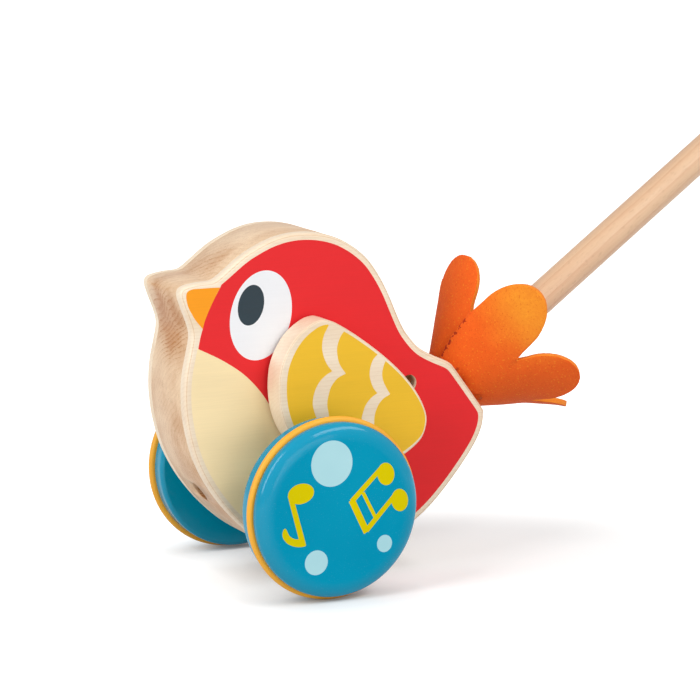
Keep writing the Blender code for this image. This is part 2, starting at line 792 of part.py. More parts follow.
def build_wings():
    outline = wing_outline()
    rods = []
    for use, spot, radius in (
        ("pivot", PIVOT, PIVOT_ROD_RADIUS),
        ("stop", STOP_ROD, STOP_ROD_RADIUS),
    ):
        middle = (spot[0], 0, spot[1])
        name = f"wing_{use}_rod"
        rods.append(rod(name, middle, (0, 1, 0), 2 * ROD_END, radius, COARSE, BEECH, WING_AXIS))
    for name, side in SIDES:
        middle = side * (WING_BACK + WING_THICKNESS / 2)
        wing = plate(name + "_wing", outline, middle, WING_THICKNESS, YELLOW_PRINT, WING_AXIS)
        round_edges(wing, WING_EDGE_RADIUS, BEVEL_FACETS)
        for use, spot, radius in (
            ("pivot", PIVOT, PIVOT_ROD_RADIUS),
            ("stop", STOP_ROD, STOP_ROD_RADIUS),
        ):
            depth = WING_BORE_DEPTH + OVERRUN
            mouth = (spot[0], side * (WING_BACK + WING_BORE_DEPTH - depth / 2), spot[1])
            cut(wing, drill(f"{name}_{use}_bore", mouth, (0, 1, 0), depth, radius + GAP))
        ring(
            name + "_wing_washer",
            PIVOT_ROD_RADIUS + GAP,
            WASHER_RADIUS,
            PANEL_FACE + GAP,
            PANEL_FACE + GAP + WASHER_THICKNESS,
            (PIVOT[0], 0, PIVOT[1]),
            (0, side, 0),
            COARSE,
            NYLON,
            WING_AXIS,
        )
    arm = band_round(((PIVOT, LEVER_HUB_RADIUS), (LEVER_ELBOW, LEVER_ELBOW_RADIUS)))
    finger = band_round(((LEVER_ELBOW, LEVER_TIP_RADIUS), (LEVER_TIP, LEVER_TIP_RADIUS)))
    lever = plate("wing_lever", arm, 0, LEVER_THICKNESS, NYLON, WING_AXIS)
    cut(lever, plate_cutter("lever_finger", finger, LEVER_THICKNESS - 2 * GAP), operation="UNION")
    middle = (PIVOT[0], 0, PIVOT[1])
    bore = drill("lever_bore", middle, (0, 1, 0), LEVER_THICKNESS + OVERRUN, PIVOT_ROD_RADIUS + GAP)
    pin_hole = drill(
        "lever_pin_hole",
        middle,
        (1, 0, 0),
        2 * (LEVER_HUB_RADIUS + OVERRUN),
        LOCK_PIN_RADIUS + GAP,
        LEAST,
    )
    cut(lever, bore, pin_hole)
    cut(rods[0], pin_hole)
    rod(
        "wing_lever_pin",
        middle,
        (1, 0, 0),
        2 * (LEVER_HUB_RADIUS - GAP),
        LOCK_PIN_RADIUS,
        LEAST,
        STEEL,
        WING_AXIS,
    )


# Scene


def handle_reach_forward():
    """How far the knob reaches along +X from the axle."""
    base = handle_spot(HANDLE_REACH)[0]
    return base + max(h * ALONG_HANDLE[0] + r * ALONG_HANDLE[1] for r, h in knob_profile())


def empty(name, spot, parent=None):
    obj = bpy.data.objects.new(name, None)
    PARTS.objects.link(obj)
    obj.location = spot
    obj.parent = parent
    return obj


for old in list(bpy.data.objects):
    bpy.data.objects.remove(old)
PARTS = bpy.data.collections.new("push_along_bird")
CUTTERS = bpy.data.collections.new("cutters")
bpy.context.scene.collection.children.link(PARTS)
bpy.context.scene.collection.children.link(CUTTERS)

MAPLE = finish("maple", (0.74, 0.58, 0.40), 0.55)
BEECH = finish("beech", (0.76, 0.55, 0.36), 0.45)
RED_PRINT = finish("red_print", (0.74, 0.04, 0.04), 0.35)
YELLOW_PRINT = finish("yellow_print", (0.84, 0.51, 0.05), 0.35)
TEAL_PAINT = finish("teal_paint", (0.0, 0.30, 0.47), 0.3)
YELLOW_RUBBER = finish("yellow_rubber", (0.86, 0.39, 0.05), 0.55)
ORANGE_FELT = finish("orange_felt", (0.84, 0.13, 0.02), 0.95)
NYLON = finish("nylon", (0.85, 0.84, 0.80), 0.4)
STEEL = finish("steel", (0.62, 0.62, 0.63), 0.3, 1)

# The beak's tip and the knob lie equally far from the middle of the whole toy
FRAME = empty("toy_frame", ((AXLE_SHARE * BODY_LENGTH - handle_reach_forward()) / 2, 0, 0))
WHEEL_AXIS = empty("wheel_axis", (AXLE[0], 0, AXLE[1]), FRAME)
WING_AXIS = empty("wing_axis", (PIVOT[0], 0, PIVOT[1]), FRAME)

centre_block = build_body()
bore_block(centre_block, build_handle())
build_felt()
build_wheels()
build_wings()
bpy.context.view_layer.update()
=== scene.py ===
"""The looks of a wooden push-along bird.

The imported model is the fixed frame. Each section makes one piece, or one group of like pieces, where
that frame has it, gives it its finish, and lets it ride on the body that carries it.
Units are metres. The bird looks along -X, its stick leans towards +X, and -Y is the near side.
"""

import json
import math

import bmesh
import bpy
import numpy as np
from mathutils import Matrix, Vector, noise
from mathutils.geometry import convex_hull_2d, delaunay_2d_cdt

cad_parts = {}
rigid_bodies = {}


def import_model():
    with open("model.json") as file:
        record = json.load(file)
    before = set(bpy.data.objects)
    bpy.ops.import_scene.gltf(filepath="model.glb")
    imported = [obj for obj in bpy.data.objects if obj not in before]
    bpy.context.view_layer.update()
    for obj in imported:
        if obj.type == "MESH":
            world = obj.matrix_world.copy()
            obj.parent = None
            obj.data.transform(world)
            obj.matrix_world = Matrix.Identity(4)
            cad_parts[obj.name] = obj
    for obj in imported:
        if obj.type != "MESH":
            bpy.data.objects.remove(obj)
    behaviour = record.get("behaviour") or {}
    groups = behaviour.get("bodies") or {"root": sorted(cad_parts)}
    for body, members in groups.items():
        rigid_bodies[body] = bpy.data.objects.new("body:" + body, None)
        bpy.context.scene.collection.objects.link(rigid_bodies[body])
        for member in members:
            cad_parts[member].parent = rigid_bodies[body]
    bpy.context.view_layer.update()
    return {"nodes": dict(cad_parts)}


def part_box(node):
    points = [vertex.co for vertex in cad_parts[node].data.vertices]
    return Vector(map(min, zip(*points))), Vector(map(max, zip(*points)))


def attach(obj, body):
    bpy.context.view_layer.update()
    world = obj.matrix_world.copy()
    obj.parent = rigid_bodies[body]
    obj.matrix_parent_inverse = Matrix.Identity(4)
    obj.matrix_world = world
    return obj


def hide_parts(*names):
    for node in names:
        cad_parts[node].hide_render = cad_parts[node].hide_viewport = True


for old in list(bpy.data.objects):
    bpy.data.objects.remove(old)
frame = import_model()


# Studio
# A white paper sweep in a bright room, with one tall soft lamp on the left, a wide one high on the right
# and a low weak one in front. A long lens looks from a little above the floor, left of the near side.


def middle(node):
    low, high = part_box(node)
    return (low + high) / 2


def from_sky(azimuth, elevation):
    """The direction towards a place at these angles: azimuth 0 is in front of the near side."""
    level = math.cos(elevation)
    return Vector((math.sin(azimuth) * level, -math.cos(azimuth) * level, math.sin(elevation)))


def facing(place, target):
    return Matrix.Translation(place) @ (target - place).to_track_quat("-Z", "Y").to_matrix().to_4x4()


def placed(name, data):
    """A new object in the scene."""
    obj = bpy.data.objects.new(name, data)
    bpy.context.scene.collection.objects.link(obj)
    return obj


AXLE = middle("axle")
AIM = AXLE + Vector((0.035, 0, 0.0572))
CAMERA_AZIMUTH = math.radians(-25.93)
CAMERA_ELEVATION = math.radians(10.15)
CAMERA_DISTANCE = 1.3901
CAMERA_LENS = 160.55
CAMERA_REACH = 60

camera = placed("camera", bpy.data.cameras.new("camera"))
camera.data.lens = CAMERA_LENS
camera.data.clip_end = CAMERA_REACH
camera.matrix_world = facing(AIM + from_sky(CAMERA_AZIMUTH, CAMERA_ELEVATION) * CAMERA_DISTANCE, AIM)
bpy.context.scene.camera = camera
bpy.context.scene.view_settings.view_transform = "Standard"

# Each lamp: azimuth and elevation in degrees, distance, width, height, and power in watts
LAMPS = {
    "left_softbox": (-72, 31, 1.3, 0.45, 1.0, 10.5),
    "right_softbox": (34, 44, 1.4, 1.1, 0.42, 8.5),
    "low_softbox": (6, 3, 1.8, 1.0, 1.0, 7.7),
}
for name, (azimuth, elevation, distance, width, height, watts) in LAMPS.items():
    lamp = placed(name, bpy.data.lights.new(name, "AREA"))
    lamp.data.shape = "RECTANGLE"
    lamp.data.size = width
    lamp.data.size_y = height
    lamp.data.energy = watts
    towards = from_sky(math.radians(azimuth), math.radians(elevation))
    lamp.matrix_world = facing(AIM + towards * distance, AIM)


def plug(tree, value, socket):
    """Links a socket to an input, or sets the input to a plain value."""
    if isinstance(value, bpy.types.NodeSocket):
        tree.links.new(value, socket)
    else:
        socket.default_value = value


def add(tree, kind, wired=(), **settings):
    """A shader node with its settings, and with sockets or plain values on its inputs."""
    made = tree.nodes.new("ShaderNode" + kind)
    for key, value in settings.items():
        setattr(made, key, value)
    for key, value in dict(wired).items():
        plug(tree, value, made.inputs[key])
    return made


def shaded_place(tree):
    """The place that is being shaded, in metres from the origin at rest."""
    return add(tree, "TexCoord").outputs["Object"]


def maths(tree, operation, *values):
    return add(tree, "Math", enumerate(values), operation=operation).outputs[0]


def vectors(tree, operation, *values):
    made = add(tree, "VectorMath", enumerate(values), operation=operation)
    return made.outputs["Value" if operation in ("LENGTH", "DISTANCE") else "Vector"]


def ranged(tree, value, low, high, to_low=0.0, to_high=1.0, ease="LINEAR"):
    """A value carried over from one range to another."""
    ends = {0: value, 1: low, 2: high, 3: to_low, 4: to_high}
    return add(tree, "MapRange", ends, interpolation_type=ease).outputs[0]


def seen_straight(tree):
    """1 for rays from the camera and for those that a mirror or glass sends on, else 0."""
    path = add(tree, "LightPath").outputs
    straight = maths(tree, "MAXIMUM", path["Is Camera Ray"], path["Is Glossy Ray"])
    return maths(tree, "MAXIMUM", straight, path["Is Transmission Ray"])


FLOOR_WIDTH = 40
FLOOR_CELLS = 8
FLOOR_WHITE = 0.66
ROOM_LIGHT = 0.38

# The paper glows for the eye alone: least in the bird's shadow, and more from one reach to the next
SHADOW_MIDDLE = (-0.135, -0.05, 0)
SHADOW_REACH = 0.085
SHADOW_GLOW = 0.42
SWEEP_REACH = 0.175
SWEEP_GLOW = 0.85
WHITE_REACH = 0.8

# Close to the bird the glow goes too, as where a wheel touches the floor: a painted contact shadow, by
# ambient occlusion
CONTACT_REACH = 0.022
CONTACT_GLOW = 0.1
CONTACT_SAMPLES = 4

world = bpy.data.worlds.new("room")
bpy.context.scene.world = world
world.use_nodes = True
room = world.node_tree
sky = room.nodes["Background"]
sky.inputs["Color"].default_value = (1, 1, 1, 1)
room.links.new(ranged(room, seen_straight(room), 0.0, 1.0, ROOM_LIGHT, 1.0), sky.inputs["Strength"])

floor_mesh = bpy.data.meshes.new("floor")
form = bmesh.new()
bmesh.ops.create_grid(form, x_segments=FLOOR_CELLS, y_segments=FLOOR_CELLS, size=FLOOR_WIDTH / 2)
form.to_mesh(floor_mesh)
form.free()
floor = placed("floor", floor_mesh)
paper = bpy.data.materials.new("white_sweep")
paper.use_nodes = True
sweep = paper.node_tree
paper_shader = sweep.nodes["Principled BSDF"]
paper_shader.inputs["Base Color"].default_value = (FLOOR_WHITE, FLOOR_WHITE, FLOOR_WHITE, 1)
paper_shader.inputs["Roughness"].default_value = 1
paper_shader.inputs["Specular IOR Level"].default_value = 0
paper_shader.inputs["Emission Strength"].default_value = 1
away = vectors(sweep, "DISTANCE", shaded_place(sweep), SHADOW_MIDDLE)
near_glow = ranged(sweep, away, SHADOW_REACH, SWEEP_REACH, SHADOW_GLOW, SWEEP_GLOW, ease="SMOOTHSTEP")
far_glow = ranged(sweep, away, SWEEP_REACH, WHITE_REACH, 0.0, 1 - SWEEP_GLOW)
# Painted contact shadow: the glow is dimmed where ambient occlusion finds the bird close by
open_air = add(sweep, "AmbientOcclusion", {"Distance": CONTACT_REACH}, samples=CONTACT_SAMPLES)
contact_shaded_glow = ranged(sweep, open_air.outputs["AO"], 0.0, 1.0, CONTACT_GLOW, 1.0)
glow = maths(sweep, "MULTIPLY", maths(sweep, "ADD", near_glow, far_glow), contact_shaded_glow)
glow = maths(sweep, "MULTIPLY", seen_straight(sweep), glow)
sweep.links.new(glow, paper_shader.inputs["Emission Color"])
floor_mesh.materials.append(paper)


# Centre block
# A thick slab of beech, sawn to the bird's outline and hollowed for the works. It is sanded and has a
# thin clear varnish, so its sawn edge shows growth lines, and darker short grain at the beak and chest.
# Its chest hole and slot are darkened with painted shade.


def colour(red, green, blue):
    """A colour as a paint chart gives it, 0 to 255, in Blender's linear values."""
    chart = np.array((red, green, blue)) / 255
    linear = np.where(chart <= 0.04045, chart / 12.92, ((chart + 0.055) / 1.055) ** 2.4)
    return (*(float(v) for v in linear), 1.0)


def mixed(tree, share, first, second):
    return add(tree, "Mix", {0: share, 6: first, 7: second}, data_type="RGBA").outputs[2]


def clouds(tree, vector, scale, detail):
    """Smooth random values round 0.5, scale of them to a metre."""
    return add(tree, "TexNoise", {"Vector": vector, "Scale": scale, "Detail": detail}).outputs["Fac"]


def streaked(tree, vector, scales, detail):
    """Clouds with a scale of their own along each axis."""
    return clouds(tree, vectors(tree, "MULTIPLY", vector, scales), 1.0, detail)


def plus(tree, base, value, weight):
    """The base and a share of another value."""
    return maths(tree, "ADD", base, maths(tree, "MULTIPLY", value, weight))


def effect(name, **inputs):
    """An empty node group with these inputs, and its input sockets by name."""
    tree = bpy.data.node_groups.new(name, "ShaderNodeTree")
    for label, kind in {"Vector": "Vector", **inputs}.items():
        tree.interface.new_socket(label.replace("_", " "), in_out="INPUT", socket_type="NodeSocket" + kind)
    for label, kind in (("Color", "Color"), ("Roughness", "Float"), ("Height", "Float")):
        tree.interface.new_socket(label, in_out="OUTPUT", socket_type="NodeSocket" + kind)
    return tree, tree.nodes.new("NodeGroupInput").outputs


def deliver(tree, tint, roughness, height):
    end = tree.nodes.new("NodeGroupOutput")
    for socket, value in zip(end.inputs, (tint, roughness, height)):
        plug(tree, value, socket)


def finished(name, tree, values, relief, turn=(0, 0, 0), shift=(0, 0, 0), **shader):
    """A material from an effect group: its values, its bump in metres and the shader's own values.

    A value that is a function gives a mask over the piece, from the material's nodes.
    """
    material = bpy.data.materials.new(name)
    material.use_nodes = True
    nodes = material.node_tree
    place = {"Vector": shaded_place(nodes), "Rotation": turn, "Location": shift}
    place = add(nodes, "Mapping", place).outputs[0]
    made = add(nodes, "Group")
    made.node_tree = tree
    principled = nodes.nodes["Principled BSDF"]
    settings = [(made, label, value) for label, value in {"Vector": place, **values}.items()]
    settings += [(principled, label, value) for label, value in shader.items()]
    for node, label, value in settings:
        value = value(nodes) if callable(value) else value
        plug(nodes, value, node.inputs[label.replace("_", " ")])
    bump = add(nodes, "Bump", {"Height": made.outputs["Height"], "Distance": relief})
    nodes.links.new(made.outputs["Color"], principled.inputs["Base Color"])
    nodes.links.new(made.outputs["Roughness"], principled.inputs["Roughness"])
    nodes.links.new(bump.outputs["Normal"], principled.inputs["Normal"])
    return material


SPOT_EDGE_SCALE = 90.0


def near_spot(nodes, spot, full, none):
    """A mask that is 1 up to one distance from a spot on the piece, and 0 from another on."""
    place = shaded_place(nodes)
    ragged = maths(nodes, "SUBTRACT", clouds(nodes, place, SPOT_EDGE_SCALE, 3.0), 0.5)
    away = plus(nodes, vectors(nodes, "DISTANCE", place, spot), ragged, full)
    return ranged(nodes, away, full, none, 1.0, 0.0, ease="SMOOTHSTEP")


# The wood's figure: how the grain is drawn out along X, where the tree's heart lay, how far the rings
# wander, and how many fibres, rays and sawn-through pores there are to a metre along each axis
GRAIN_STRETCH = (0.09, 1, 1)
RING_STRETCH = (0.05, 1, 1)
HEART_OFFSET = (0, 0.04, -0.046)
RING_WANDER = 0.012
LATE_WOOD_SHARPNESS = 4.0
FIBRES = (90, 3200, 3200)
RAYS = (420, 2400, 900)
PORES = (500, 260, 1500)

# How much each of them darkens the wood
FIBRE_SHADE = 0.22
PATCH_SHADE = 0.34
PORE_SHADE = 0.9
SHORT_GRAIN_AND_SHADE_DEPTH = 0.52
RAY_SHADE = 0.55
RAY_BROWN = (0.1, 0.05, 0.02, 1)

sawn, given = effect(
    "sawn_wood",
    Pale="Color",
    Deep="Color",
    Ring_Width="Float",
    Figure="Float",
    Flecks="Float",
    Short_Grain="Float",
)
along = vectors(sawn, "MULTIPLY", given["Vector"], GRAIN_STRETCH)
wander = maths(sawn, "MULTIPLY", clouds(sawn, along, 38.0, 3.0), RING_WANDER)
from_heart = vectors(sawn, "MULTIPLY", vectors(sawn, "ADD", given["Vector"], HEART_OFFSET), RING_STRETCH)
ring = maths(sawn, "ADD", vectors(sawn, "LENGTH", from_heart), wander)
ring = maths(sawn, "FRACT", maths(sawn, "DIVIDE", ring, given["Ring Width"]))
late_wood = maths(sawn, "POWER", ring, LATE_WOOD_SHARPNESS)
fibres = streaked(sawn, given["Vector"], FIBRES, 3.0)
rays = ranged(sawn, streaked(sawn, given["Vector"], RAYS, 1.0), 0.61, 0.70)
rays = maths(sawn, "MULTIPLY", rays, given["Flecks"])
pores = ranged(sawn, streaked(sawn, given["Vector"], PORES, 2.0), 0.42, 0.6)
pores = maths(sawn, "MULTIPLY", pores, maths(sawn, "POWER", given["Short Grain"], 2.0))
patches = ranged(sawn, clouds(sawn, along, 75.0, 3.0), 0.35, 0.68)
depth = maths(sawn, "MULTIPLY", late_wood, plus(sawn, given["Figure"], pores, PORE_SHADE))
depth = plus(sawn, depth, given["Short Grain"], SHORT_GRAIN_AND_SHADE_DEPTH)
depth = plus(sawn, depth, ranged(sawn, fibres, 0.3, 0.75), FIBRE_SHADE)
depth = plus(sawn, depth, patches, PATCH_SHADE)
tone = mixed(sawn, depth, given["Pale"], given["Deep"])
ray_tone = mixed(sawn, 0.6, given["Deep"], RAY_BROWN)
tone = mixed(sawn, maths(sawn, "MULTIPLY", rays, RAY_SHADE), tone, ray_tone)
grain_height = plus(sawn, maths(sawn, "MULTIPLY", fibres, 0.6), rays, -0.5)
deliver(sawn, tone, ranged(sawn, fibres, 0.3, 0.7, 0.42, 0.56), grain_height)

# Where short grain shows, above and under the beak and down the chest, and painted shade in the chest
# hole and the slot.
# Each has its spot, how far it is full, where it ends, and its strength
SHORT_GRAIN_AND_SHADE_SPOTS = (
    ((AXLE.x - 0.0347, 0, 0.1410), 0.0040, 0.0260, 0.6),
    ((AXLE.x - 0.0522, 0, 0.1164), 0.0070, 0.0280, 1.0),
    ((AXLE.x - 0.0460, 0, 0.0500), 0.0180, 0.0450, 0.42),
    # The last two spots are painted shade inside the chest hole and the slot
    ((AXLE.x - 0.0345, 0, AXLE.z), 0.0042, 0.0052, 1.0),
    ((AXLE.x + 0.0580, -0.0120, 0.0850), 0.0060, 0.0100, 1.0),
)


def short_grain_and_shade(nodes):
    """The strongest of the spots at each place: short grain, and painted shade in the hole and slot."""
    strongest = 0.0
    for spot, full, none, strength in SHORT_GRAIN_AND_SHADE_SPOTS:
        mask = maths(nodes, "MULTIPLY", near_spot(nodes, spot, full, none), strength)
        strongest = maths(nodes, "MAXIMUM", strongest, mask)
    return strongest


def wood(name, pale, deep, ring_width, figure, flecks, short_grain_and_shade=0.0, **rest):
    """A material of sawn wood: the tones of its growth rings, and how strongly its figure shows."""
    values = {
        "Pale": colour(*pale),
        "Deep": colour(*deep),
        "Ring_Width": ring_width,
        "Figure": figure,
        "Flecks": flecks,
        "Short_Grain": short_grain_and_shade,
    }
    return finished(name, sawn, values, **rest)


BLOCK_BEECH = wood(
    "sawn_beech_edge",
    (245, 220, 187),
    (178, 118, 64),
    ring_width=0.0021,
    figure=0.10,
    flecks=0.5,
    short_grain_and_shade=short_grain_and_shade,
    relief=0.00006,
    Specular_IOR_Level=0.2,
    Coat_Weight=0.15,
    Coat_Roughness=0.35,
)

FLATNESS = 0.00001
OUTLINE_SPACING = 0.0008
HOLE_SPACING = 0.0005
CORNER_SOFTNESS = 0.0009
SPLINE_STEPS = 8
INSET_CLEAR = 0.985


def face_loops(node, depth):
    """The outlines, in X and Z, of a CAD node's flat face at this Y, the longest first."""
    mesh = frame["nodes"][node].data
    spots = {}
    steps = set()
    for polygon in mesh.polygons:
        corners = [mesh.vertices[v].co for v in polygon.vertices]
        if any(abs(corner.y - depth) > FLATNESS for corner in corners):
            continue
        keys = [(round(c.x / FLATNESS), round(c.z / FLATNESS)) for c in corners]
        spots.update(zip(keys, ((c.x, c.z) for c in corners)))
        steps.update(zip(keys, keys[1:] + keys[:1]))
    follows = {a: b for a, b in steps if (b, a) not in steps}
    loops = []
    while follows:
        key, after = follows.popitem()
        loop = [spots[key]]
        while after in follows:
            loop.append(spots[after])
            after = follows.pop(after)
        loops.append(anticlockwise(loop))
    return sorted(loops, key=lambda loop: -length_round(loop))


def length_round(loop):
    loop = np.array(loop)
    return float(np.linalg.norm(loop - np.roll(loop, -1, 0), axis=1).sum())


def anticlockwise(loop):
    loop = np.array(loop)
    after = np.roll(loop, -1, 0)
    area = (loop[:, 0] * after[:, 1] - loop[:, 1] * after[:, 0]).sum()
    return loop if area > 0 else loop[::-1]


def drawn_through(points, closed=True):
    """Catmull-Rom points through a list of points."""
    points = np.array(points, float)
    if closed:
        before, after, beyond = (np.roll(points, k, 0) for k in (1, -1, -2))
        here = points
    else:
        padded = np.concatenate([points[:1], points, points[-1:]])
        before, here, after, beyond = padded[:-3], padded[1:-2], padded[2:-1], padded[3:]
    spots = []
    for step in range(SPLINE_STEPS):
        t = step / SPLINE_STEPS
        curve = 2 * here + (after - before) * t + (2 * before - 5 * here + 4 * after - beyond) * t**2
        spots.append((curve + (3 * here - before - 3 * after + beyond) * t**3) / 2)
    run = np.stack(spots, 1).reshape(-1, points.shape[1])
    return run if closed else np.concatenate([run, points[-1:]])


def softened(loop, spacing=OUTLINE_SPACING, softness=CORNER_SOFTNESS):
    """A closed outline as a smooth curve of evenly spaced points, with its sharp corners eased."""
    curve = drawn_through(loop)
    closed = np.concatenate([curve, curve[:1]])
    run = np.concatenate([[0], np.cumsum(np.linalg.norm(np.diff(closed, axis=0), axis=1))])
    count = int(run[-1] / spacing)
    at = np.linspace(0, run[-1], count, endpoint=False)
    even = np.stack([np.interp(at, run, closed[:, k]) for k in (0, 1)], 1)
    if not softness:
        return even
    reach = int(3 * softness / spacing) + 1
    weights = {k: math.exp(-0.5 * (k * spacing / softness) ** 2) for k in range(-reach, reach + 1)}
    return sum(w * np.roll(even, k, 0) for k, w in weights.items()) / sum(weights.values())


def inset(loop, depth, cleared=False):
    """The outline moved inwards, if wanted without the points that came too close to it."""
    if depth == 0:
        return loop
    run = np.roll(loop, -1, 0) - np.roll(loop, 1, 0)
    inward = np.stack([-run[:, 1], run[:, 0]], 1) / np.linalg.norm(run, axis=1)[:, None]
    moved = loop + inward * depth
    if cleared:
        gaps = np.linalg.norm(moved[:, None] - loop[None], axis=2).min(1)
        moved = moved[gaps > abs(depth) * INSET_CLEAR]
    return moved


def inside(points, loop):
    """Which points lie inside a closed outline, by counting crossings."""
    x, z = points[:, :1], points[:, 1:]
    ax, az = loop[:, 0], loop[:, 1]
    bx, bz = np.roll(ax, -1), np.roll(az, -1)
    rise = np.where(bz == az, 1, bz - az)
    crossed = ((az > z) != (bz > z)) & (x < (bx - ax) * (z - az) / rise + ax)
    return crossed.sum(1) % 2 == 1


def cap(form, rim, holes=(), prints=(), depth=0.0, over=(), rings=()):
    """Fills a face at this Y, or at a Y for each place, with smooth bends along the rings.

    Its prints are (outline, finish). The first one lies on top, and the last one bounds them all,
    apart from the prints over it.
    """
    loops = [rim, *holes, *rings, *(loop for loop, _ in (*prints, *over))]
    edges = []
    spots = []
    for loop in loops:
        start = len(spots)
        spots += [Vector(p) for p in loop]
        edges += [(start + i, start + (i + 1) % len(loop)) for i in range(len(loop))]
    spots, _, faces, *_ = delaunay_2d_cdt(spots, edges, [], 0, FLATNESS / 10)
    flat = np.array([tuple(s) for s in spots])
    centres = np.array([flat[list(face)].mean(0) for face in faces])
    kept = inside(centres, rim)
    for hole in holes:
        kept &= ~inside(centres, hole)
    finish = np.zeros(len(faces), int)
    for loop, number in reversed(prints):
        finish[inside(centres, loop) & inside(centres, prints[-1][0])] = number
    for loop, number in reversed(over):
        finish[inside(centres, loop)] = number
    level = depth(flat) if callable(depth) else np.full(len(flat), depth)
    verts = [form.verts.new((x, y, z)) for (x, z), y in zip(flat, level)]
    for face, keep, number in zip(faces, kept, finish):
        if keep:
            made = form.faces.new([verts[i] for i in face])
            made.material_index = int(number)
            made.smooth = bool(len(rings))
    for vert in verts:
        if not vert.link_faces:
            form.verts.remove(vert)


def loft(form, loops, closed=False):
    """Joins loops of equal length with faces, given as (x, y, z) points."""
    rows = [[form.verts.new(p) for p in loop] for loop in loops]
    pairs = list(zip(rows, rows[1:])) + ([(rows[-1], rows[0])] if closed else [])
    for low, high in pairs:
        for i in range(len(low)):
            j = (i + 1) % len(low)
            form.faces.new((low[i], low[j], high[j], high[i])).smooth = True


def solid(name, form, materials, weld=FLATNESS / 10):
    """An object from a closed form, welded and with its faces pointing out."""
    bmesh.ops.remove_doubles(form, verts=form.verts, dist=weld)
    bmesh.ops.recalc_face_normals(form, faces=form.faces)
    mesh = bpy.data.meshes.new(name)
    form.to_mesh(mesh)
    form.free()
    for material in materials:
        mesh.materials.append(material)
    return placed(name, mesh)


def rounded_edge(back, face, back_radius, face_radius, steps=6):
    """The edge of a board from its back to its face, as (inset, Y), with both rims rounded."""
    way = 1 if face > back else -1
    turns = [math.pi / 2 * i / steps for i in range(steps + 1)]
    low = [(back_radius * (1 - math.sin(t)), back + way * back_radius * (1 - math.cos(t))) for t in turns]
    high = [(face_radius * (1 - math.cos(t)), face - way * face_radius * (1 - math.sin(t))) for t in turns]
    return low + high


def board(name, outline, edge, holes, materials, bottom=None, level=None, **face_prints):
    """A board cut to an outline, with a shaped edge and prints on its face.

    Its holes go through, or from its back down to a bottom at that Y. A level bends its face.
    """
    form = bmesh.new()
    levels = [(inset(outline, depth), y) for depth, y in edge]
    back, face = edge[0][1], edge[-1][1]
    loft(form, [[(x, y, z) for x, z in loop] for loop, y in levels])
    for hole in holes:
        loft(form, [[(x, y, z) for x, z in hole] for y in (back, face if bottom is None else bottom)])
    cap(form, levels[0][0], holes, (), back)
    cap(form, levels[-1][0], holes if bottom is None else (), depth=level or face, **face_prints)
    for hole in () if bottom is None else holes:
        cap(form, hole, (), (), bottom)
    return solid(name, form, materials)


def rod_mesh(name, spot, direction, radius, length, facets=64):
    """A plain round tool for drilling."""
    form = bmesh.new()
    bmesh.ops.create_cone(form, cap_ends=True, segments=facets, radius1=radius, radius2=radius, depth=length)
    place = Matrix.Translation(spot) @ Vector(direction).to_track_quat("Z", "Y").to_matrix().to_4x4()
    bmesh.ops.transform(form, matrix=place, verts=form.verts)
    return solid(name, form, ())


def settled(obj):
    """Turns an object's modifiers into mesh for good."""
    bpy.context.view_layer.update()
    mesh = bpy.data.meshes.new_from_object(obj.evaluated_get(bpy.context.evaluated_depsgraph_get()))
    obj.modifiers.clear()
    obj.data = mesh


def drilled(obj, *tools):
    """Cuts the tools from an object, and throws the tools away."""
    for tool in tools:
        bore = obj.modifiers.new(tool.name, "BOOLEAN")
        bore.object = tool
        bore.solver = "EXACT"
    settled(obj)
    for tool in tools:
        bpy.data.objects.remove(tool)


BLOCK_CHAMFER = 0.0003
GLUE_GAP = 0.00005
SLOT_SPACING = 0.0004
CHEST_HOLE_RADIUS = 0.004
HANDLE_TILT = math.radians(36.3)
ALONG_HANDLE = Vector((math.cos(HANDLE_TILT), 0, math.sin(HANDLE_TILT)))
ACROSS_HANDLE = Vector((-math.sin(HANDLE_TILT), 0, math.cos(HANDLE_TILT)))
STICK_CLEARANCE = 0.0003
stick_low, stick_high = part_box("handle_stick")
STICK_RADIUS = (stick_high.y - stick_low.y) / 2

block_low, block_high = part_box("centre_block")
body_loop, cavity_loop, slot_loop, _ = face_loops("centre_block", block_low.y)
OUTLINE = softened(body_loop)
SLOT = softened(slot_loop, spacing=SLOT_SPACING, softness=0)
CAVITY = softened(cavity_loop, softness=0)
block_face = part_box("near_side_panel")[1].y + GLUE_GAP
block = board(
    "centre_block_shaped",
    OUTLINE,
    rounded_edge(-block_face, block_face, BLOCK_CHAMFER, BLOCK_CHAMFER, steps=2),
    (SLOT, CAVITY),
    (BLOCK_BEECH,),
)
stick_half = ((stick_high.x - stick_low.x) / 2 - STICK_RADIUS * ALONG_HANDLE.z) / ALONG_HANDLE.x
stick_foot = middle("handle_stick") - ALONG_HANDLE * stick_half
bore_length = 2 * (block_high.x - stick_foot.x)
drilled(
    block,
    rod_mesh(
        "chest_drill",
        (block_low.x, 0, AXLE.z),
        (1, 0, 0),
        CHEST_HOLE_RADIUS,
        2 * (AXLE.x - block_low.x),
    ),
    rod_mesh(
        "stick_drill",
        stick_foot + ALONG_HANDLE * (bore_length / 2 - STICK_CLEARANCE),
        ALONG_HANDLE,
        STICK_RADIUS + STICK_CLEARANCE,
        bore_length,
    ),
)
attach(block, "body")
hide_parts("centre_block")


# Side panels
# Boards of pale maple in the same outline, glued to both sides of the block. Each is faced with a thin
# veneer, whose glue line shows on the rounded edge, and screen printed in flat inks inside that edge.

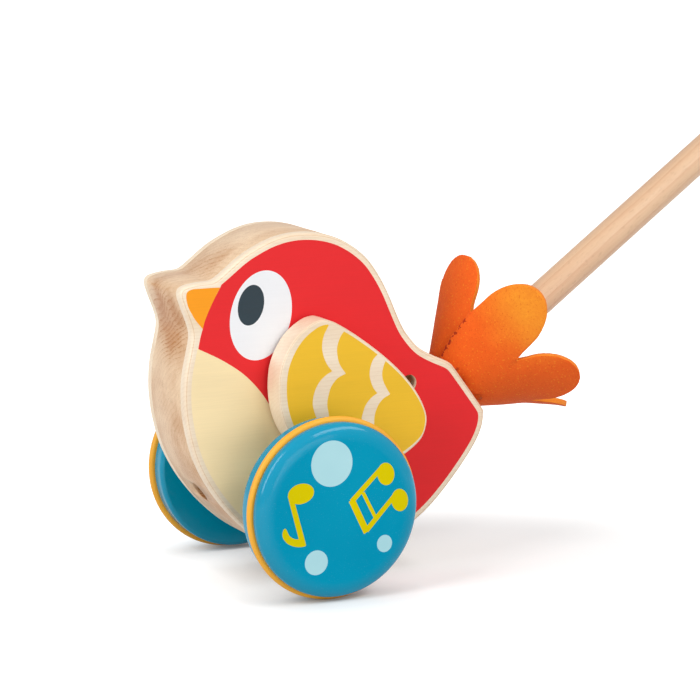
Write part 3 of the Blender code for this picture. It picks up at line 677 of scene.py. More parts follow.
printed, given = effect("screen_print", Ink="Color", Grain="Float")
fine = streaked(printed, given["Vector"], (70, 2600, 2600), 3.0)
thin = streaked(printed, given["Vector"], (9, 60, 60), 3.0)
specks = clouds(printed, given["Vector"], 5200.0, 1.0)
half_grain = maths(printed, "MULTIPLY", given["Grain"], 0.5)
shade = maths(printed, "MULTIPLY", ranged(printed, fine, 0.35, 0.75), half_grain)
shade = plus(printed, shade, ranged(printed, thin, 0.3, 0.7), given["Grain"])
shade = plus(printed, shade, ranged(printed, specks, 0.55, 0.8), 0.05)
wood_through = mixed(printed, 0.12, given["Ink"], (0.05, 0.03, 0.02, 1))
tone = mixed(printed, shade, given["Ink"], wood_through)
height = plus(printed, maths(printed, "MULTIPLY", fine, 0.6), specks, 0.25)
deliver(printed, tone, ranged(printed, thin, 0.3, 0.7, 0.34, 0.44), height)


def ink(name, tint, grain=0.6):
    """A satin screen-printing ink on sanded wood."""
    return finished(
        name, printed, {"Ink": colour(*tint), "Grain": grain}, relief=0.00004, Specular_IOR_Level=0.1
    )


RED_INK = ink("red_ink", (229, 44, 48))
CREAM_INK = ink("cream_ink", (249, 226, 178))
ORANGE_INK = ink("orange_ink", (250, 158, 34))
WHITE_INK = ink("white_ink", (236, 237, 240), grain=0.3)
PUPIL_INK = ink("slate_ink", (50, 64, 72), grain=0.9)
VENEER = 0.0002
GLUE_LINE = 0.00016


def glue_line(nodes):
    """Where a board's rounded edge cuts through the glue under its face veneer."""
    place = shaded_place(nodes)
    across = maths(nodes, "ABSOLUTE", add(nodes, "SeparateXYZ", {0: place}).outputs["Y"])
    faces = [abs(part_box(node)[0].y) for node in ("near_side_panel", "near_wing")]
    lines = [maths(nodes, "COMPARE", across, face - VENEER, GLUE_LINE / 2) for face in faces]
    return maths(nodes, "MAXIMUM", *lines)


MAPLE = wood(
    "maple_board",
    (243, 227, 203),
    (214, 182, 146),
    ring_width=0.0016,
    figure=0.2,
    flecks=0.1,
    short_grain_and_shade=glue_line,
    relief=0.00005,
    shift=(0.3, 0.1, 0.2),
    Coat_Weight=0.15,
    Coat_Roughness=0.35,
)

PANEL_EDGE_RADIUS = 0.0018
PANEL_BACK_RADIUS = 0.0004
PRINT_MARGIN = 0.0031
PRINT_SOFTNESS = 0.0011
OVER_EDGE = 0.02


def from_axle(points):
    """Places measured from the axle along X and from the floor up."""
    return np.array(points, float) + (AXLE.x, 0)


def ellipse(centre, half_width, half_height, lean=0.0, count=96):
    """An ellipse whose top leans towards the tail."""
    turns = np.linspace(0, math.tau, count, endpoint=False)
    across, up = half_width * np.cos(turns), half_height * np.sin(turns)
    x = across * math.cos(lean) + up * math.sin(lean)
    z = up * math.cos(lean) - across * math.sin(lean)
    return from_axle(np.stack([x + centre[0], z + centre[1]], 1))


# The finishes' numbers on a panel, and the outlines of its prints
BARE, SLATE, WHITE, ORANGE, CREAM, RED = range(6)
PANEL_FINISHES = (MAPLE, PUPIL_INK, WHITE_INK, ORANGE_INK, CREAM_INK, RED_INK)
EYE_WHITE = ellipse((-0.0180, 0.1199), 0.01436, 0.0197, math.radians(13.3))
PUPIL = ellipse((-0.02265, 0.1247), 0.00606, 0.00892, math.radians(13))
BEAK_PRINT = (
    (-0.0370, 0.1334),
    (-0.0411, 0.1335),
    (-0.0458, 0.1335),
    (-0.0491, 0.1335),
    (-0.0510, 0.1332),
    (-0.0524, 0.1322),
    (-0.0528, 0.1307),
    (-0.0526, 0.1284),
    (-0.0518, 0.1257),
    (-0.0504, 0.1230),
    (-0.0486, 0.1200),
    (-0.0453, 0.1160),
)
FACE_LINE = (
    (-0.0360, 0.1360),
    (-0.0370, 0.1334),
    (-0.0397, 0.1288),
    (-0.0417, 0.1250),
    (-0.0440, 0.1201),
    (-0.0453, 0.1160),
    (-0.0465, 0.1120),
    (-0.0475, 0.1073),
)
BREAST_LINE = (
    (-0.0500, 0.1088),
    (-0.0475, 0.1075),
    (-0.0354, 0.1011),
    (-0.0249, 0.0935),
    (-0.0160, 0.0832),
    (-0.0096, 0.0710),
    (-0.0058, 0.0570),
    (-0.0046, 0.0420),
    (-0.0058, 0.0270),
    (-0.0095, 0.0120),
    (-0.0130, 0.0020),
)


def ahead_of(line):
    """The area from a line forwards, to beyond the beak."""
    front = line[0][0] - OVER_EDGE
    return np.concatenate(
        [
            drawn_through(from_axle(line), closed=False),
            from_axle([(front, line[-1][1]), (front, line[0][1])]),
        ]
    )


# The beak's print runs round its tip, and back up the face line to where it began
beak_top, beak_foot = FACE_LINE.index(BEAK_PRINT[0]), FACE_LINE.index(BEAK_PRINT[-1])
beak_edge = drawn_through(from_axle(BEAK_PRINT), closed=False)
face_edge = drawn_through(from_axle(FACE_LINE[beak_top : beak_foot + 1][::-1]), closed=False)
EYE_AND_BEAK = (
    (PUPIL, SLATE),
    (EYE_WHITE, WHITE),
    (np.concatenate([beak_edge[:-1], face_edge[:-1]]), ORANGE),
)
FACE_PRINT = (
    (ahead_of(BREAST_LINE), CREAM),
    (ahead_of(FACE_LINE), BARE),
    (softened(inset(OUTLINE, PRINT_MARGIN, cleared=True), softness=PRINT_SOFTNESS), RED),
)

for side, node in (("near", "near_side_panel"), ("far", "far_side_panel")):
    low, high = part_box(node)
    face, back = (low.y, high.y) if side == "near" else (high.y, low.y)
    _, _, *bush_loops = face_loops(node, face)
    panel = board(
        node + "_printed",
        OUTLINE,
        rounded_edge(back, face, PANEL_BACK_RADIUS, PANEL_EDGE_RADIUS),
        (SLOT, *(softened(loop, spacing=HOLE_SPACING, softness=0) for loop in bush_loops)),
        PANEL_FINISHES,
        prints=FACE_PRINT,
        over=EYE_AND_BEAK,
    )
    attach(panel, "body")
    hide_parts(node)


# Wings
# Two boards of the same maple, fixed to one rod so that they flap together. Their outer faces are
# printed yellow, a little off centre, and two feather lines are left as bare wood.

WING_EDGE_RADIUS = 0.0010
WING_PRINT_MARGIN = 0.0022
WING_PRINT_SHIFT = (0.0013, 0)
YELLOW_INK = ink("yellow_ink", (240, 190, 50))
YELLOW = 1

# Each feather line: arcs down its front edge and back up its rear one, which meet in points
FRONT_FEATHERS = (
    (
        (0.0092, 0.1200), (0.0074, 0.1160), (0.0051, 0.1117), (0.0042, 0.1072),
        (0.0048, 0.1030), (0.0065, 0.0990), (0.0090, 0.0957),
    ),
    (
        (0.0090, 0.0957), (0.0059, 0.0941), (0.0028, 0.0913), (0.0006, 0.0873),
        (-0.0003, 0.0827), (0.0003, 0.0791), (0.0020, 0.0745),
    ),
    (
        (0.0090, 0.0660), (0.0074, 0.0764), (0.0066, 0.0811), (0.0072, 0.0852),
        (0.0087, 0.0892), (0.0116, 0.0924), (0.0155, 0.0941),
    ),
    (
        (0.0155, 0.0941), (0.0127, 0.0982), (0.0116, 0.1019), (0.0114, 0.1061),
        (0.0130, 0.1106), (0.0153, 0.1133), (0.0180, 0.1160),
    ),
)
REAR_FEATHERS = (
    (
        (0.0335, 0.1045), (0.0312, 0.1017), (0.0286, 0.0990), (0.0272, 0.0950),
        (0.0272, 0.0913), (0.0287, 0.0870), (0.0308, 0.0842),
    ),
    (
        (0.0308, 0.0842), (0.0278, 0.0824), (0.0252, 0.0795), (0.0238, 0.0760),
        (0.0232, 0.0729), (0.0238, 0.0650),
    ),
    (
        (0.0300, 0.0600), (0.0293, 0.0697), (0.0295, 0.0744), (0.0310, 0.0785),
        (0.0335, 0.0814), (0.0370, 0.0832),
    ),
    (
        (0.0370, 0.0832), (0.0341, 0.0882), (0.0331, 0.0919), (0.0335, 0.0950),
        (0.0349, 0.0983), (0.0375, 0.1005),
    ),
)


def feather_line(arcs):
    """A band between arcs that meet in points."""
    return np.concatenate([drawn_through(from_axle(arc), closed=False)[:-1] for arc in arcs])


for side in ("near", "far"):
    node = side + "_wing"
    low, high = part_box(node)
    face, back = (low.y, high.y) if side == "near" else (high.y, low.y)
    _, *rod_holes = face_loops(node, back)
    corners = [Vector((vert.co.x, vert.co.z)) for vert in frame["nodes"][node].data.vertices]
    shape = softened(anticlockwise([corners[i] for i in convex_hull_2d(corners)]))
    wing = board(
        node + "_printed",
        shape,
        rounded_edge(back, face, WING_EDGE_RADIUS, WING_EDGE_RADIUS),
        [softened(loop, spacing=HOLE_SPACING, softness=0) for loop in rod_holes],
        (MAPLE, YELLOW_INK),
        prints=(
            (feather_line(FRONT_FEATHERS), BARE),
            (feather_line(REAR_FEATHERS), BARE),
            (inset(shape, WING_PRINT_MARGIN) + WING_PRINT_SHIFT, YELLOW),
        ),
        bottom=math.copysign(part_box("wing_pivot_rod")[1].y, face),
    )
    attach(wing, "wings")
    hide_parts(node)


# Wheels
# Turned discs of close-grained wood, dipped in gloss blue paint. Each has a groove for its rubber ring,
# a soft shoulder round its outer face, and dots and notes printed on it.

dipped, given = effect("gloss_paint", Paint="Color")
pooled = clouds(dipped, given["Vector"], 26.0, 2.0)
dust = clouds(dipped, given["Vector"], 2600.0, 1.0)
skin = clouds(dipped, given["Vector"], 420.0, 1.0)
deeper = vectors(dipped, "MULTIPLY", given["Paint"], (0.7, 0.82, 0.86))
tone = mixed(dipped, ranged(dipped, pooled, 0.3, 0.7, 0.0, 0.5), given["Paint"], deeper)
tone = mixed(dipped, ranged(dipped, dust, 0.68, 0.8, 0.0, 0.06), tone, (0.8, 0.9, 0.95, 1))
deliver(dipped, tone, ranged(dipped, pooled, 0.3, 0.7, 0.14, 0.18), skin)


SHINE_START = 0.0305
SHINE_FULL = 0.0355
SHINE = 0.42


def thicker_lacquer(nodes):
    """The lacquer pools on the shoulder, so that part shines more."""
    place = shaded_place(nodes)
    from_middle = vectors(nodes, "MULTIPLY", vectors(nodes, "SUBTRACT", place, AXLE), (1, 0, 1))
    return ranged(nodes, vectors(nodes, "LENGTH", from_middle), SHINE_START, SHINE_FULL, 0.0, SHINE)


def gloss(name, tint):
    return finished(
        name,
        dipped,
        {"Paint": colour(*tint)},
        relief=0.00002,
        Specular_IOR_Level=0.03,
        Coat_Weight=thicker_lacquer,
        Coat_Roughness=0.12,
    )


BLUE_PAINT = gloss("blue_paint", (0, 148, 182))
PALE_DOT = gloss("pale_blue_ink", (176, 219, 226))
NOTE_INK = gloss("note_yellow_ink", (222, 200, 0))

PAINTED, DOTTED, NOTED = range(3)
WHEEL_FACETS = 144
WHEEL_BACK_RADIUS = 0.0020
GROOVE_NEAR = 0.0082
GROOVE_FAR = 0.0122
GROOVE_FLOOR = 0.0026
GROOVE_LIP = 0.0008
SHOULDER_ACROSS = 0.0074
SHOULDER_DEEP = 0.0044


def curve_in(start, across, deep, way, steps=12):
    """A quarter of an ellipse, as (inset, depth): way 1 comes out to the rim, and -1 leaves it."""
    turns = [math.pi / 2 * i / steps for i in range(steps + 1)]
    if way > 0:
        return [(across * (1 - math.sin(t)), start + deep * (1 - math.cos(t))) for t in turns]
    return [(across * (1 - math.cos(t)), start + deep * math.sin(t)) for t in turns]


def note_stroke(start, end, width_start, width_end):
    """A straight stroke of a note, with its own width at each end."""
    start, end = np.array(start), np.array(end)
    side = (end - start)[::-1] * (-1, 1) / np.linalg.norm(end - start)
    half_start, half_end = side * width_start / 2, side * width_end / 2
    return from_axle([start + half_start, start - half_start, end - half_end, end + half_end])


QUAVER = (
    ellipse((-0.0186, 0.0497), 0.0061, 0.0044, math.radians(-6)),
    note_stroke((-0.0237, 0.0496), (-0.0176, 0.0272), 0.0023, 0.0026),
    drawn_through(
        from_axle(
            [
                (-0.0164, 0.0270),
                (-0.0205, 0.0268),
                (-0.0248, 0.0286),
                (-0.0272, 0.0318),
                (-0.0270, 0.0346),
                (-0.0257, 0.0352),
                (-0.0240, 0.0320),
                (-0.0213, 0.0303),
                (-0.0180, 0.0300),
            ]
        )
    ),
)
BEAMED_PAIR = (
    ellipse((0.0215, 0.0545), 0.0040, 0.0050, math.radians(-14)),
    ellipse((0.0282, 0.0424), 0.0040, 0.0050, math.radians(-14)),
    note_stroke((0.0190, 0.0570), (0.0052, 0.0440), 0.0022, 0.0024),
    note_stroke((0.0257, 0.0446), (0.0122, 0.0306), 0.0022, 0.0024),
    note_stroke((0.0052, 0.0447), (0.0124, 0.0298), 0.0030, 0.0030),
    note_stroke((0.0106, 0.0474), (0.0172, 0.0346), 0.0016, 0.0016),
)
DOTS = (
    ellipse((-0.0041, 0.0614), 0.0097, 0.0100),
    ellipse((-0.0115, 0.0190), 0.0054, 0.0054),
    ellipse((0.0209, 0.0240), 0.0036, 0.0038),
)


def shoulder(radius, start, out):
    """The Y of a wheel's outer face at places on it: flat in the middle, and rounded to its rim."""

    def level(flat):
        from_rim = np.round(radius - np.linalg.norm(flat - (AXLE.x, AXLE.z), axis=1), 6)
        share = np.clip(1 - from_rim / SHOULDER_ACROSS, 0, 1)
        return out * (start + SHOULDER_DEEP * np.sqrt(1 - share**2))

    return level


for side, out in (("near", -1), ("far", 1)):
    node = side + "_wheel"
    low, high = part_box(node)
    inner = min(abs(low.y), abs(high.y))
    face_start = high.y - low.y - SHOULDER_DEEP
    edge = [
        *curve_in(0, WHEEL_BACK_RADIUS, WHEEL_BACK_RADIUS, 1),
        *curve_in(GROOVE_NEAR - GROOVE_LIP, GROOVE_LIP, GROOVE_LIP, -1, steps=4),
        (GROOVE_FLOOR, GROOVE_NEAR + FLATNESS),
        (GROOVE_FLOOR, GROOVE_FAR - FLATNESS),
        *curve_in(GROOVE_FAR, GROOVE_LIP, GROOVE_LIP, 1, steps=4),
        (0, face_start),
    ]
    radius = (high.x - low.x) / 2
    rim = ellipse((0, AXLE.z), radius, radius, count=WHEEL_FACETS)
    bends = [radius - depth for depth, _ in curve_in(0, SHOULDER_ACROSS, SHOULDER_DEEP, -1)[1:]]
    _, axle_bore = face_loops(node, out * inner)
    wheel = board(
        node + "_painted",
        rim,
        [(depth, out * (inner + away)) for depth, away in edge],
        (softened(axle_bore, spacing=HOLE_SPACING, softness=0),),
        (BLUE_PAINT, PALE_DOT, NOTE_INK),
        prints=(
            *((loop, DOTTED) for loop in DOTS),
            *((loop, NOTED) for loop in (*QUAVER, *BEAMED_PAIR)),
            (rim, PAINTED),
        ),
        rings=[ellipse((0, AXLE.z), bend, bend, count=WHEEL_FACETS) for bend in bends],
        level=shoulder(radius, inner + face_start, out),
        bottom=math.copysign(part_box("axle")[1].y, out),
    )
    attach(wheel, "wheels")
    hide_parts(node)


# Rubber rings
# Moulded yellow rubber bands with a crowned tread, stretched into the wheels' grooves, so that the bird
# grips the floor and rolls quietly.

moulded, given = effect("moulded", Tint="Color", Rough="Float")
flow = clouds(moulded, given["Vector"], 55.0, 2.0)
sparkle = clouds(moulded, given["Vector"], 3600.0, 2.0)
deeper = vectors(moulded, "MULTIPLY", given["Tint"], (0.9, 0.82, 0.8))
tone = mixed(moulded, ranged(moulded, flow, 0.3, 0.7, 0.0, 0.6), given["Tint"], deeper)
tone = mixed(moulded, ranged(moulded, sparkle, 0.6, 0.8, 0.0, 0.12), tone, deeper)
rough = maths(moulded, "ADD", given["Rough"], ranged(moulded, sparkle, 0.3, 0.7, -0.05, 0.05))
deliver(moulded, tone, rough, sparkle)

YELLOW_RUBBER = finished(
    "yellow_rubber", moulded, {"Tint": colour(243, 174, 42), "Rough": 0.5}, relief=0.00004
)


SHARP_EDGE = math.radians(35)
TREAD_STEPS = 10


def turned(name, spot, direction, profile, material, closed=False, facets=96):
    """A lathe-turned piece: its profile is (distance along, radius), from spot in this direction."""
    form = bmesh.new()
    turns = [math.tau * i / facets for i in range(facets)]
    loft(form, [[(a, r * math.cos(t), r * math.sin(t)) for t in turns] for a, r in profile], closed)
    turn = Vector(direction).to_track_quat("X", "Z").to_matrix().to_4x4()
    bmesh.ops.transform(form, matrix=Matrix.Translation(spot) @ turn, verts=form.verts)
    piece = solid(name, form, (material,))
    piece.data.set_sharp_from_angle(angle=SHARP_EDGE)
    return piece


for side in ("near", "far"):
    node = side + "_tyre_ring"
    low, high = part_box(node)
    radii = [float(np.abs(loop[:, 1] - AXLE.z).max()) for loop in face_loops(node, low.y)]
    width = high.y - low.y
    crown = (high.z - low.z) / 2
    turns = [math.pi * i / TREAD_STEPS for i in range(TREAD_STEPS + 1)]
    tread = [
        (width / 2 * (1 - math.cos(t)), radii[0] + (crown - radii[0]) * math.sin(t)) for t in turns
    ]
    ring = turned(
        node + "_moulded",
        (AXLE.x, low.y, AXLE.z),
        (0, 1, 0),
        [*tread, (width, radii[1]), (0, radii[1])],
        YELLOW_RUBBER,
        closed=True,
        facets=WHEEL_FACETS,
    )
    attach(ring, "wheels")
    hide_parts(node)


# Rods, sleeves and washers
# A steel axle and a beech wing rod cross the body in nylon bushes, and a beech stop rod crosses it in the
# slot, painted dark as the shade there. Maple sleeves keep the wheels clear of the body, and nylon washers
# do so for the wings.


def rod_beech(name, pale, deep):
    return wood(
        name,
        pale,
        deep,
        ring_width=0.0021,
        figure=0.35,
        flecks=0.9,
        relief=0.00006,
        turn=(0, 0, -math.pi / 2),
        Specular_IOR_Level=0.2,
        Coat_Weight=0.05,
        Coat_Roughness=0.3,
    )


ROD_BEECH = rod_beech("beech_rod", (236, 203, 166), (206, 158, 118))
# The stop rod's dark brown is painted shade, for the shade in the slot behind the wing
SHADE_DARK_BEECH = rod_beech("beech_rod_painted_shade", (66, 46, 26), (40, 26, 14))
NYLON = finished("natural_nylon", moulded, {"Tint": colour(238, 236, 226), "Rough": 0.4}, relief=0.00003)

drawn, given = effect("drawn_steel")
streaks = streaked(drawn, given["Vector"], (60, 4200, 4200), 2.0)
steel_tone = mixed(drawn, streaks, (0.42, 0.42, 0.43, 1), (0.62, 0.62, 0.63, 1))
deliver(drawn, steel_tone, ranged(drawn, streaks, 0.3, 0.7, 0.22, 0.36), streaks)
STEEL = finished("bright_steel", drawn, {}, relief=0.00002, Metallic=1.0)

CHAMFER = 0.0003
ROUND_PIECES = {
    "axle": ("wheels", STEEL, "steel"),
    "near_axle_bush": ("body", NYLON, "nylon"),
    "far_axle_bush": ("body", NYLON, "nylon"),
    "near_wheel_spacer": ("wheels", MAPLE, "bare_maple"),
    "far_wheel_spacer": ("wheels", MAPLE, "bare_maple"),
    "wing_pivot_rod": ("wings", ROD_BEECH, "beech"),
    "wing_stop_rod": ("wings", SHADE_DARK_BEECH, "beech"),
    "near_pivot_bush": ("body", NYLON, "nylon"),
    "far_pivot_bush": ("body", NYLON, "nylon"),
    "near_wing_washer": ("wings", NYLON, "nylon"),
    "far_wing_washer": ("wings", NYLON, "nylon"),
}
for node, (body, material, slot) in ROUND_PIECES.items():
    low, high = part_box(node)
    length = high.y - low.y
    outer, *bore = [
        float(np.linalg.norm(loop - loop.mean(0), axis=1).max()) for loop in face_loops(node, low.y)
    ]
    profile = [(0, outer - CHAMFER), (CHAMFER, outer), (length - CHAMFER, outer), (length, outer - CHAMFER)]
    if bore:
        hole = bore[0]
        profile += [(length, hole + CHAMFER), (length - CHAMFER, hole), (CHAMFER, hole), (0, hole + CHAMFER)]
    else:
        profile = [(0, 0), *profile, (length, 0)]
    piece = turned(
        node + "_turned",
        (middle(node).x, low.y, middle(node).z),
        (0, 1, 0),
        profile,
        material,
        closed=bool(bore),
    )
    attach(piece, body)
    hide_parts(node)


# Flap wheel and lever
# Moulded nylon parts inside the body: a star wheel pinned to the axle lifts a lever pinned to the wing
# rod, so that the wings flap as the bird rolls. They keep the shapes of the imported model.


def finish_packed(node, material):
    """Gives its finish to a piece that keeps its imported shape."""
    finishes = frame["nodes"][node].data.materials
    finishes.clear()
    finishes.append(material)


for node in ("flap_wheel", "wing_lever"):
    finish_packed(node, NYLON)
    finish_packed(node + "_pin", STEEL)


# Handle
# A long beech dowel, glued and cross-pinned into a bore in the tail's edge, with a turned ball knob on
# its other end.

STICK_BEECH = wood(
    "beech_dowel",
    (220, 185, 149),
    (190, 134, 98),
    ring_width=0.0045,
    figure=0.32,
    flecks=0.3,
    relief=0.00005,
    turn=(0, HANDLE_TILT, 0),
    Coat_Weight=0.3,
    Coat_Roughness=0.3,
)
KNOB_RADIUS = (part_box("handle_knob")[1].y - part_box("handle_knob")[0].y) / 2
KNOB_NECK_RADIUS = 0.0115
KNOB_NECK_LENGTH = 0.004
KNOB_FLAT_RADIUS = 0.007
KNOB_BORE_DEPTH = 0.022
KNOB_STEPS = 36
stick_length = 2 * stick_half
stick = turned(
    "handle_stick_turned",
    stick_foot,
    ALONG_HANDLE,
    [
        (0, 0),
        (0, STICK_RADIUS - 2 * CHAMFER),
        (2 * CHAMFER, STICK_RADIUS),
        (stick_length - 2 * CHAMFER, STICK_RADIUS),
        (stick_length, STICK_RADIUS - 2 * CHAMFER),
        (stick_length, 0),
    ],
    STICK_BEECH,
)
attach(stick, "body")
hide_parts("handle_stick")

finish_packed("handle_cross_pin", ROD_BEECH)

neck_turn = math.pi - math.asin(KNOB_NECK_RADIUS / KNOB_RADIUS)
flat_turn = math.asin(KNOB_FLAT_RADIUS / KNOB_RADIUS)
ball_centre = KNOB_NECK_LENGTH - KNOB_RADIUS * math.cos(neck_turn)
turns = [neck_turn + (flat_turn - neck_turn) * i / KNOB_STEPS for i in range(KNOB_STEPS + 1)]
ball = [(ball_centre + KNOB_RADIUS * math.cos(t), KNOB_RADIUS * math.sin(t)) for t in turns]
bore_radius = STICK_RADIUS + STICK_CLEARANCE
knob = turned(
    "handle_knob_turned",
    stick_foot + ALONG_HANDLE * (stick_length - KNOB_BORE_DEPTH + STICK_CLEARANCE),
    ALONG_HANDLE,
    [
        (KNOB_BORE_DEPTH, 0),
        (KNOB_BORE_DEPTH, bore_radius),
        (CHAMFER, bore_radius),
        (0, bore_radius + CHAMFER),
        (0, KNOB_NECK_RADIUS - 2 * CHAMFER),
        (2 * CHAMFER, KNOB_NECK_RADIUS),
        *ball,
        (ball[-1][0], 0),
    ],
    STICK_BEECH,
)
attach(knob, "body")
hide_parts("handle_knob")


# Felt tail
# Thick pressed wool felt, cut with six round-ended petals and rolled round the stick into a cone. One
# end laps over the other on the near side, and its foot is glued to the tail's edge.

felted, given = effect("pressed_felt", Dye="Color", Light_Dye="Color", Dark_Dye="Color", Fade="Float")
tangle = clouds(felted, given["Vector"], 900.0, 4.0)
fluff = clouds(felted, given["Vector"], 5200.0, 2.0)
dense = clouds(felted, given["Vector"], 90.0, 3.0)
specks = ranged(felted, clouds(felted, given["Vector"], 1500.0, 0.0), 0.70, 0.76)
elsewhere = vectors(felted, "ADD", given["Vector"], (3, 1, 2))
flecks = ranged(felted, clouds(felted, elsewhere, 1300.0, 0.0), 0.71, 0.77)
# Painted highlight: the felt goes towards its light colour where the highlight mask is high
tone = mixed(felted, given["Fade"], given["Dye"], given["Light Dye"])
tone = mixed(felted, ranged(felted, dense, 0.3, 0.7, 0.0, 0.25), tone, given["Dark Dye"])
tone = mixed(felted, ranged(felted, tangle, 0.3, 0.7, 0.22, 0.0), tone, given["Dark Dye"])
tone = mixed(felted, ranged(felted, fluff, 0.45, 0.75, 0.0, 0.25), tone, given["Light Dye"])
tone = mixed(felted, maths(felted, "MULTIPLY", specks, 0.45), tone, given["Dark Dye"])
tone = mixed(felted, maths(felted, "MULTIPLY", flecks, 0.45), tone, given["Light Dye"])
nap = plus(felted, maths(felted, "MULTIPLY", tangle, 0.7), fluff, 0.3)
deliver(felted, tone, ranged(felted, fluff, 0.3, 0.7, 0.86, 0.98), nap)

FELT_THICKNESS = 0.0026
FELT_LIFT = FELT_THICKNESS / 2 + 0.0003
HUB_RADIUS = 0.0105
BEND_RADIUS = 0.005
CONE_FLARE = math.radians(37)
CONE_START = HUB_RADIUS + BEND_RADIUS * (math.pi / 2 - CONE_FLARE)
STICK_DEPTH = 0.036
TAIL_EDGE = stick_foot + ALONG_HANDLE * STICK_DEPTH
NEAR_SIDE = Vector((0, -1, 0))
FELT_SPACING = 0.0011
PATTERN_RADIUS = 0.030
PETAL_FOOT = 0.034
PETAL_HEAD = 0.060
BELLY = 0.0018
BELLY_TURN = 0.2

# Each petal: angle of its middle, reach, where its round end starts, half width there and at its foot,
# lean away from the stick, and twist
PETALS = (
    (28.7, 0.0686, 0.050, 0.0143, 0.0155, 0, 0),
    (-30.5, 0.0630, 0.046, 0.0148, 0.0155, 0, -12),
    (-93.0, 0.0640, 0.049, 0.0140, 0.0150, 8, -3),
    (-153.0, 0.0650, 0.048, 0.0140, 0.0150, 3, 4),
    (-213.0, 0.0580, 0.043, 0.0140, 0.0150, -2, -4),
    (-270.3, 0.0610, 0.046, 0.0130, 0.0163, -4, 11),
)

# The seam is the end that laps over, as (angle, flat radius). The other end is tucked under it
SEAM = ((66, 0.0078), (66, 0.012), (67, 0.018), (64, 0.026), (60, 0.035))
TUCKED_END = -315
TUCKED_HEIGHT = 0.030


def felt_lie(flat, lift):
    """Where felt cut at a flat radius lies: its distance along the handle, and from it."""
    bend = np.clip((flat - HUB_RADIUS) / BEND_RADIUS, 0, math.pi / 2 - CONE_FLARE)
    beyond = np.maximum(flat - CONE_START, 0)
    height = FELT_LIFT + BEND_RADIUS * (1 - np.cos(bend)) + beyond * np.sin(bend) - lift * np.cos(bend)
    away = np.minimum(flat, HUB_RADIUS) + BEND_RADIUS * np.sin(bend)
    return height, away + beyond * np.cos(bend) + lift * np.sin(bend)


def felt_spot(angle, flat, lift=0.0):
    """The place of felt at this angle up from the near side, as rows of X, Y and Z."""
    height, away = felt_lie(flat, lift)
    low = np.clip(-np.sin(angle + BELLY_TURN), 0, 1) ** 2
    away = away + BELLY * low * np.clip((flat - HUB_RADIUS) / BEND_RADIUS, 0, 1)
    outward = np.cos(angle)[:, None] * np.array(NEAR_SIDE) + np.sin(angle)[:, None] * np.array(ACROSS_HANDLE)
    return np.array(TAIL_EDGE) + height[:, None] * np.array(ALONG_HANDLE) + away[:, None] * outward


def petal_width(flat, reach, shoulders, half, foot_half):
    """Half the width of a petal at a flat radius."""
    side = half + (foot_half - half) * ((shoulders - flat) / (shoulders - PETAL_FOOT)) ** 2
    ending = np.clip((flat - shoulders) / (reach - shoulders), 0, 1)
    return np.where(flat < shoulders, side, half * np.sqrt(1 - ending**2))


def petal_bounds():
    """The angles between which each petal lies, from the seam round to the tucked end."""
    middles = [math.radians(petal[0]) for petal in PETALS]
    first = (middles[0] + middles[-1] + math.tau) / 2
    between = [(a + b) / 2 for a, b in zip(middles, middles[1:])]
    return [first, *between, first - math.tau]


NOTCH_FLOOR = 0.028
REACH_STEPS = 400
RIM_STEP = math.radians(0.9)
HUB_STEP = math.radians(2)


def felt_reach(angle):
    """The flat radius at which the felt is cut off, at an angle."""
    bounds = petal_bounds()
    number = next(i for i, low in enumerate(bounds[1:]) if angle >= low - 1e-9 or i == len(PETALS) - 1)
    middle_angle, reach, *shape = PETALS[number][:5]
    flat = np.linspace(NOTCH_FLOOR, reach, REACH_STEPS)
    sideways = felt_lie(flat, 0)[1] * abs(angle - math.radians(middle_angle))
    return flat[sideways <= petal_width(flat, reach, *shape)].max()


def felt_pattern():
    """The cut outline, as (angle, flat radius)."""
    first, *_, last = petal_bounds()
    seam = drawn_through([(math.radians(a), flat) for a, flat in SEAM], closed=False)
    rim = [(angle, felt_reach(angle)) for angle in np.arange(first, last, -RIM_STEP)]
    tucked = math.radians(TUCKED_END)
    foot = SEAM[0][1]
    end = [(last, TUCKED_HEIGHT), (tucked, TUCKED_HEIGHT)]
    end += [(tucked, flat) for flat in np.arange(TUCKED_HEIGHT, foot, -FELT_SPACING)]
    hub = [(angle, foot) for angle in np.arange(tucked, seam[0][0], HUB_STEP)]
    outline = np.array([*seam, *rim, *end, *hub])
    closed = np.concatenate([outline, outline[:1]])
    around = felt_lie(closed[:, 1], 0)[1][1:]
    steps = np.hypot(np.diff(closed[:, 0]) * around, np.diff(closed[:, 1]))
    run = np.concatenate([[0], np.cumsum(steps)])
    at = np.linspace(0, run[-1], int(run[-1] / FELT_SPACING), endpoint=False)
    return np.stack([np.interp(at, run, closed[:, k]) for k in (0, 1)], 1)


def petal_pose(spots, angle, flat):
    """Leans and twists each petal about its own middle line, from its foot up."""
    bounds = petal_bounds()
    for number, (middle_angle, reach, _, _, _, lean, twist) in enumerate(PETALS):
        chosen = (angle <= bounds[number]) & (angle > bounds[number + 1]) & (flat > PETAL_FOOT)
        line = np.full(2, math.radians(middle_angle))
        foot, head = felt_spot(line, np.array([PETAL_FOOT, PETAL_HEAD]))
        up = (head - foot) / np.linalg.norm(head - foot)
        side = -np.sin(line[0]) * np.array(NEAR_SIDE) + np.cos(line[0]) * np.array(ACROSS_HANDLE)
        out = np.cross(up, side)
        away = spots[chosen] - foot
        rise = np.clip((flat[chosen] - PETAL_FOOT) / (reach - PETAL_FOOT), 0, 1)
        turn = math.radians(twist) * rise
        a, b, c = away @ up, away @ side, away @ out
        sideways = b * np.cos(turn) - c * np.sin(turn)
        outwards = b * np.sin(turn) + c * np.cos(turn) + a * math.tan(math.radians(lean)) * rise
        spots[chosen] = foot + np.outer(a, up) + np.outer(sideways, side) + np.outer(outwards, out)
    return spots


# The lap: how many thicknesses the felt lifts where one end lies over the other, and the angles from
# which it does so
LAP = 0.53
OVER_FROM = 20
UNDER_FROM = -262
LAP_TURN = 36


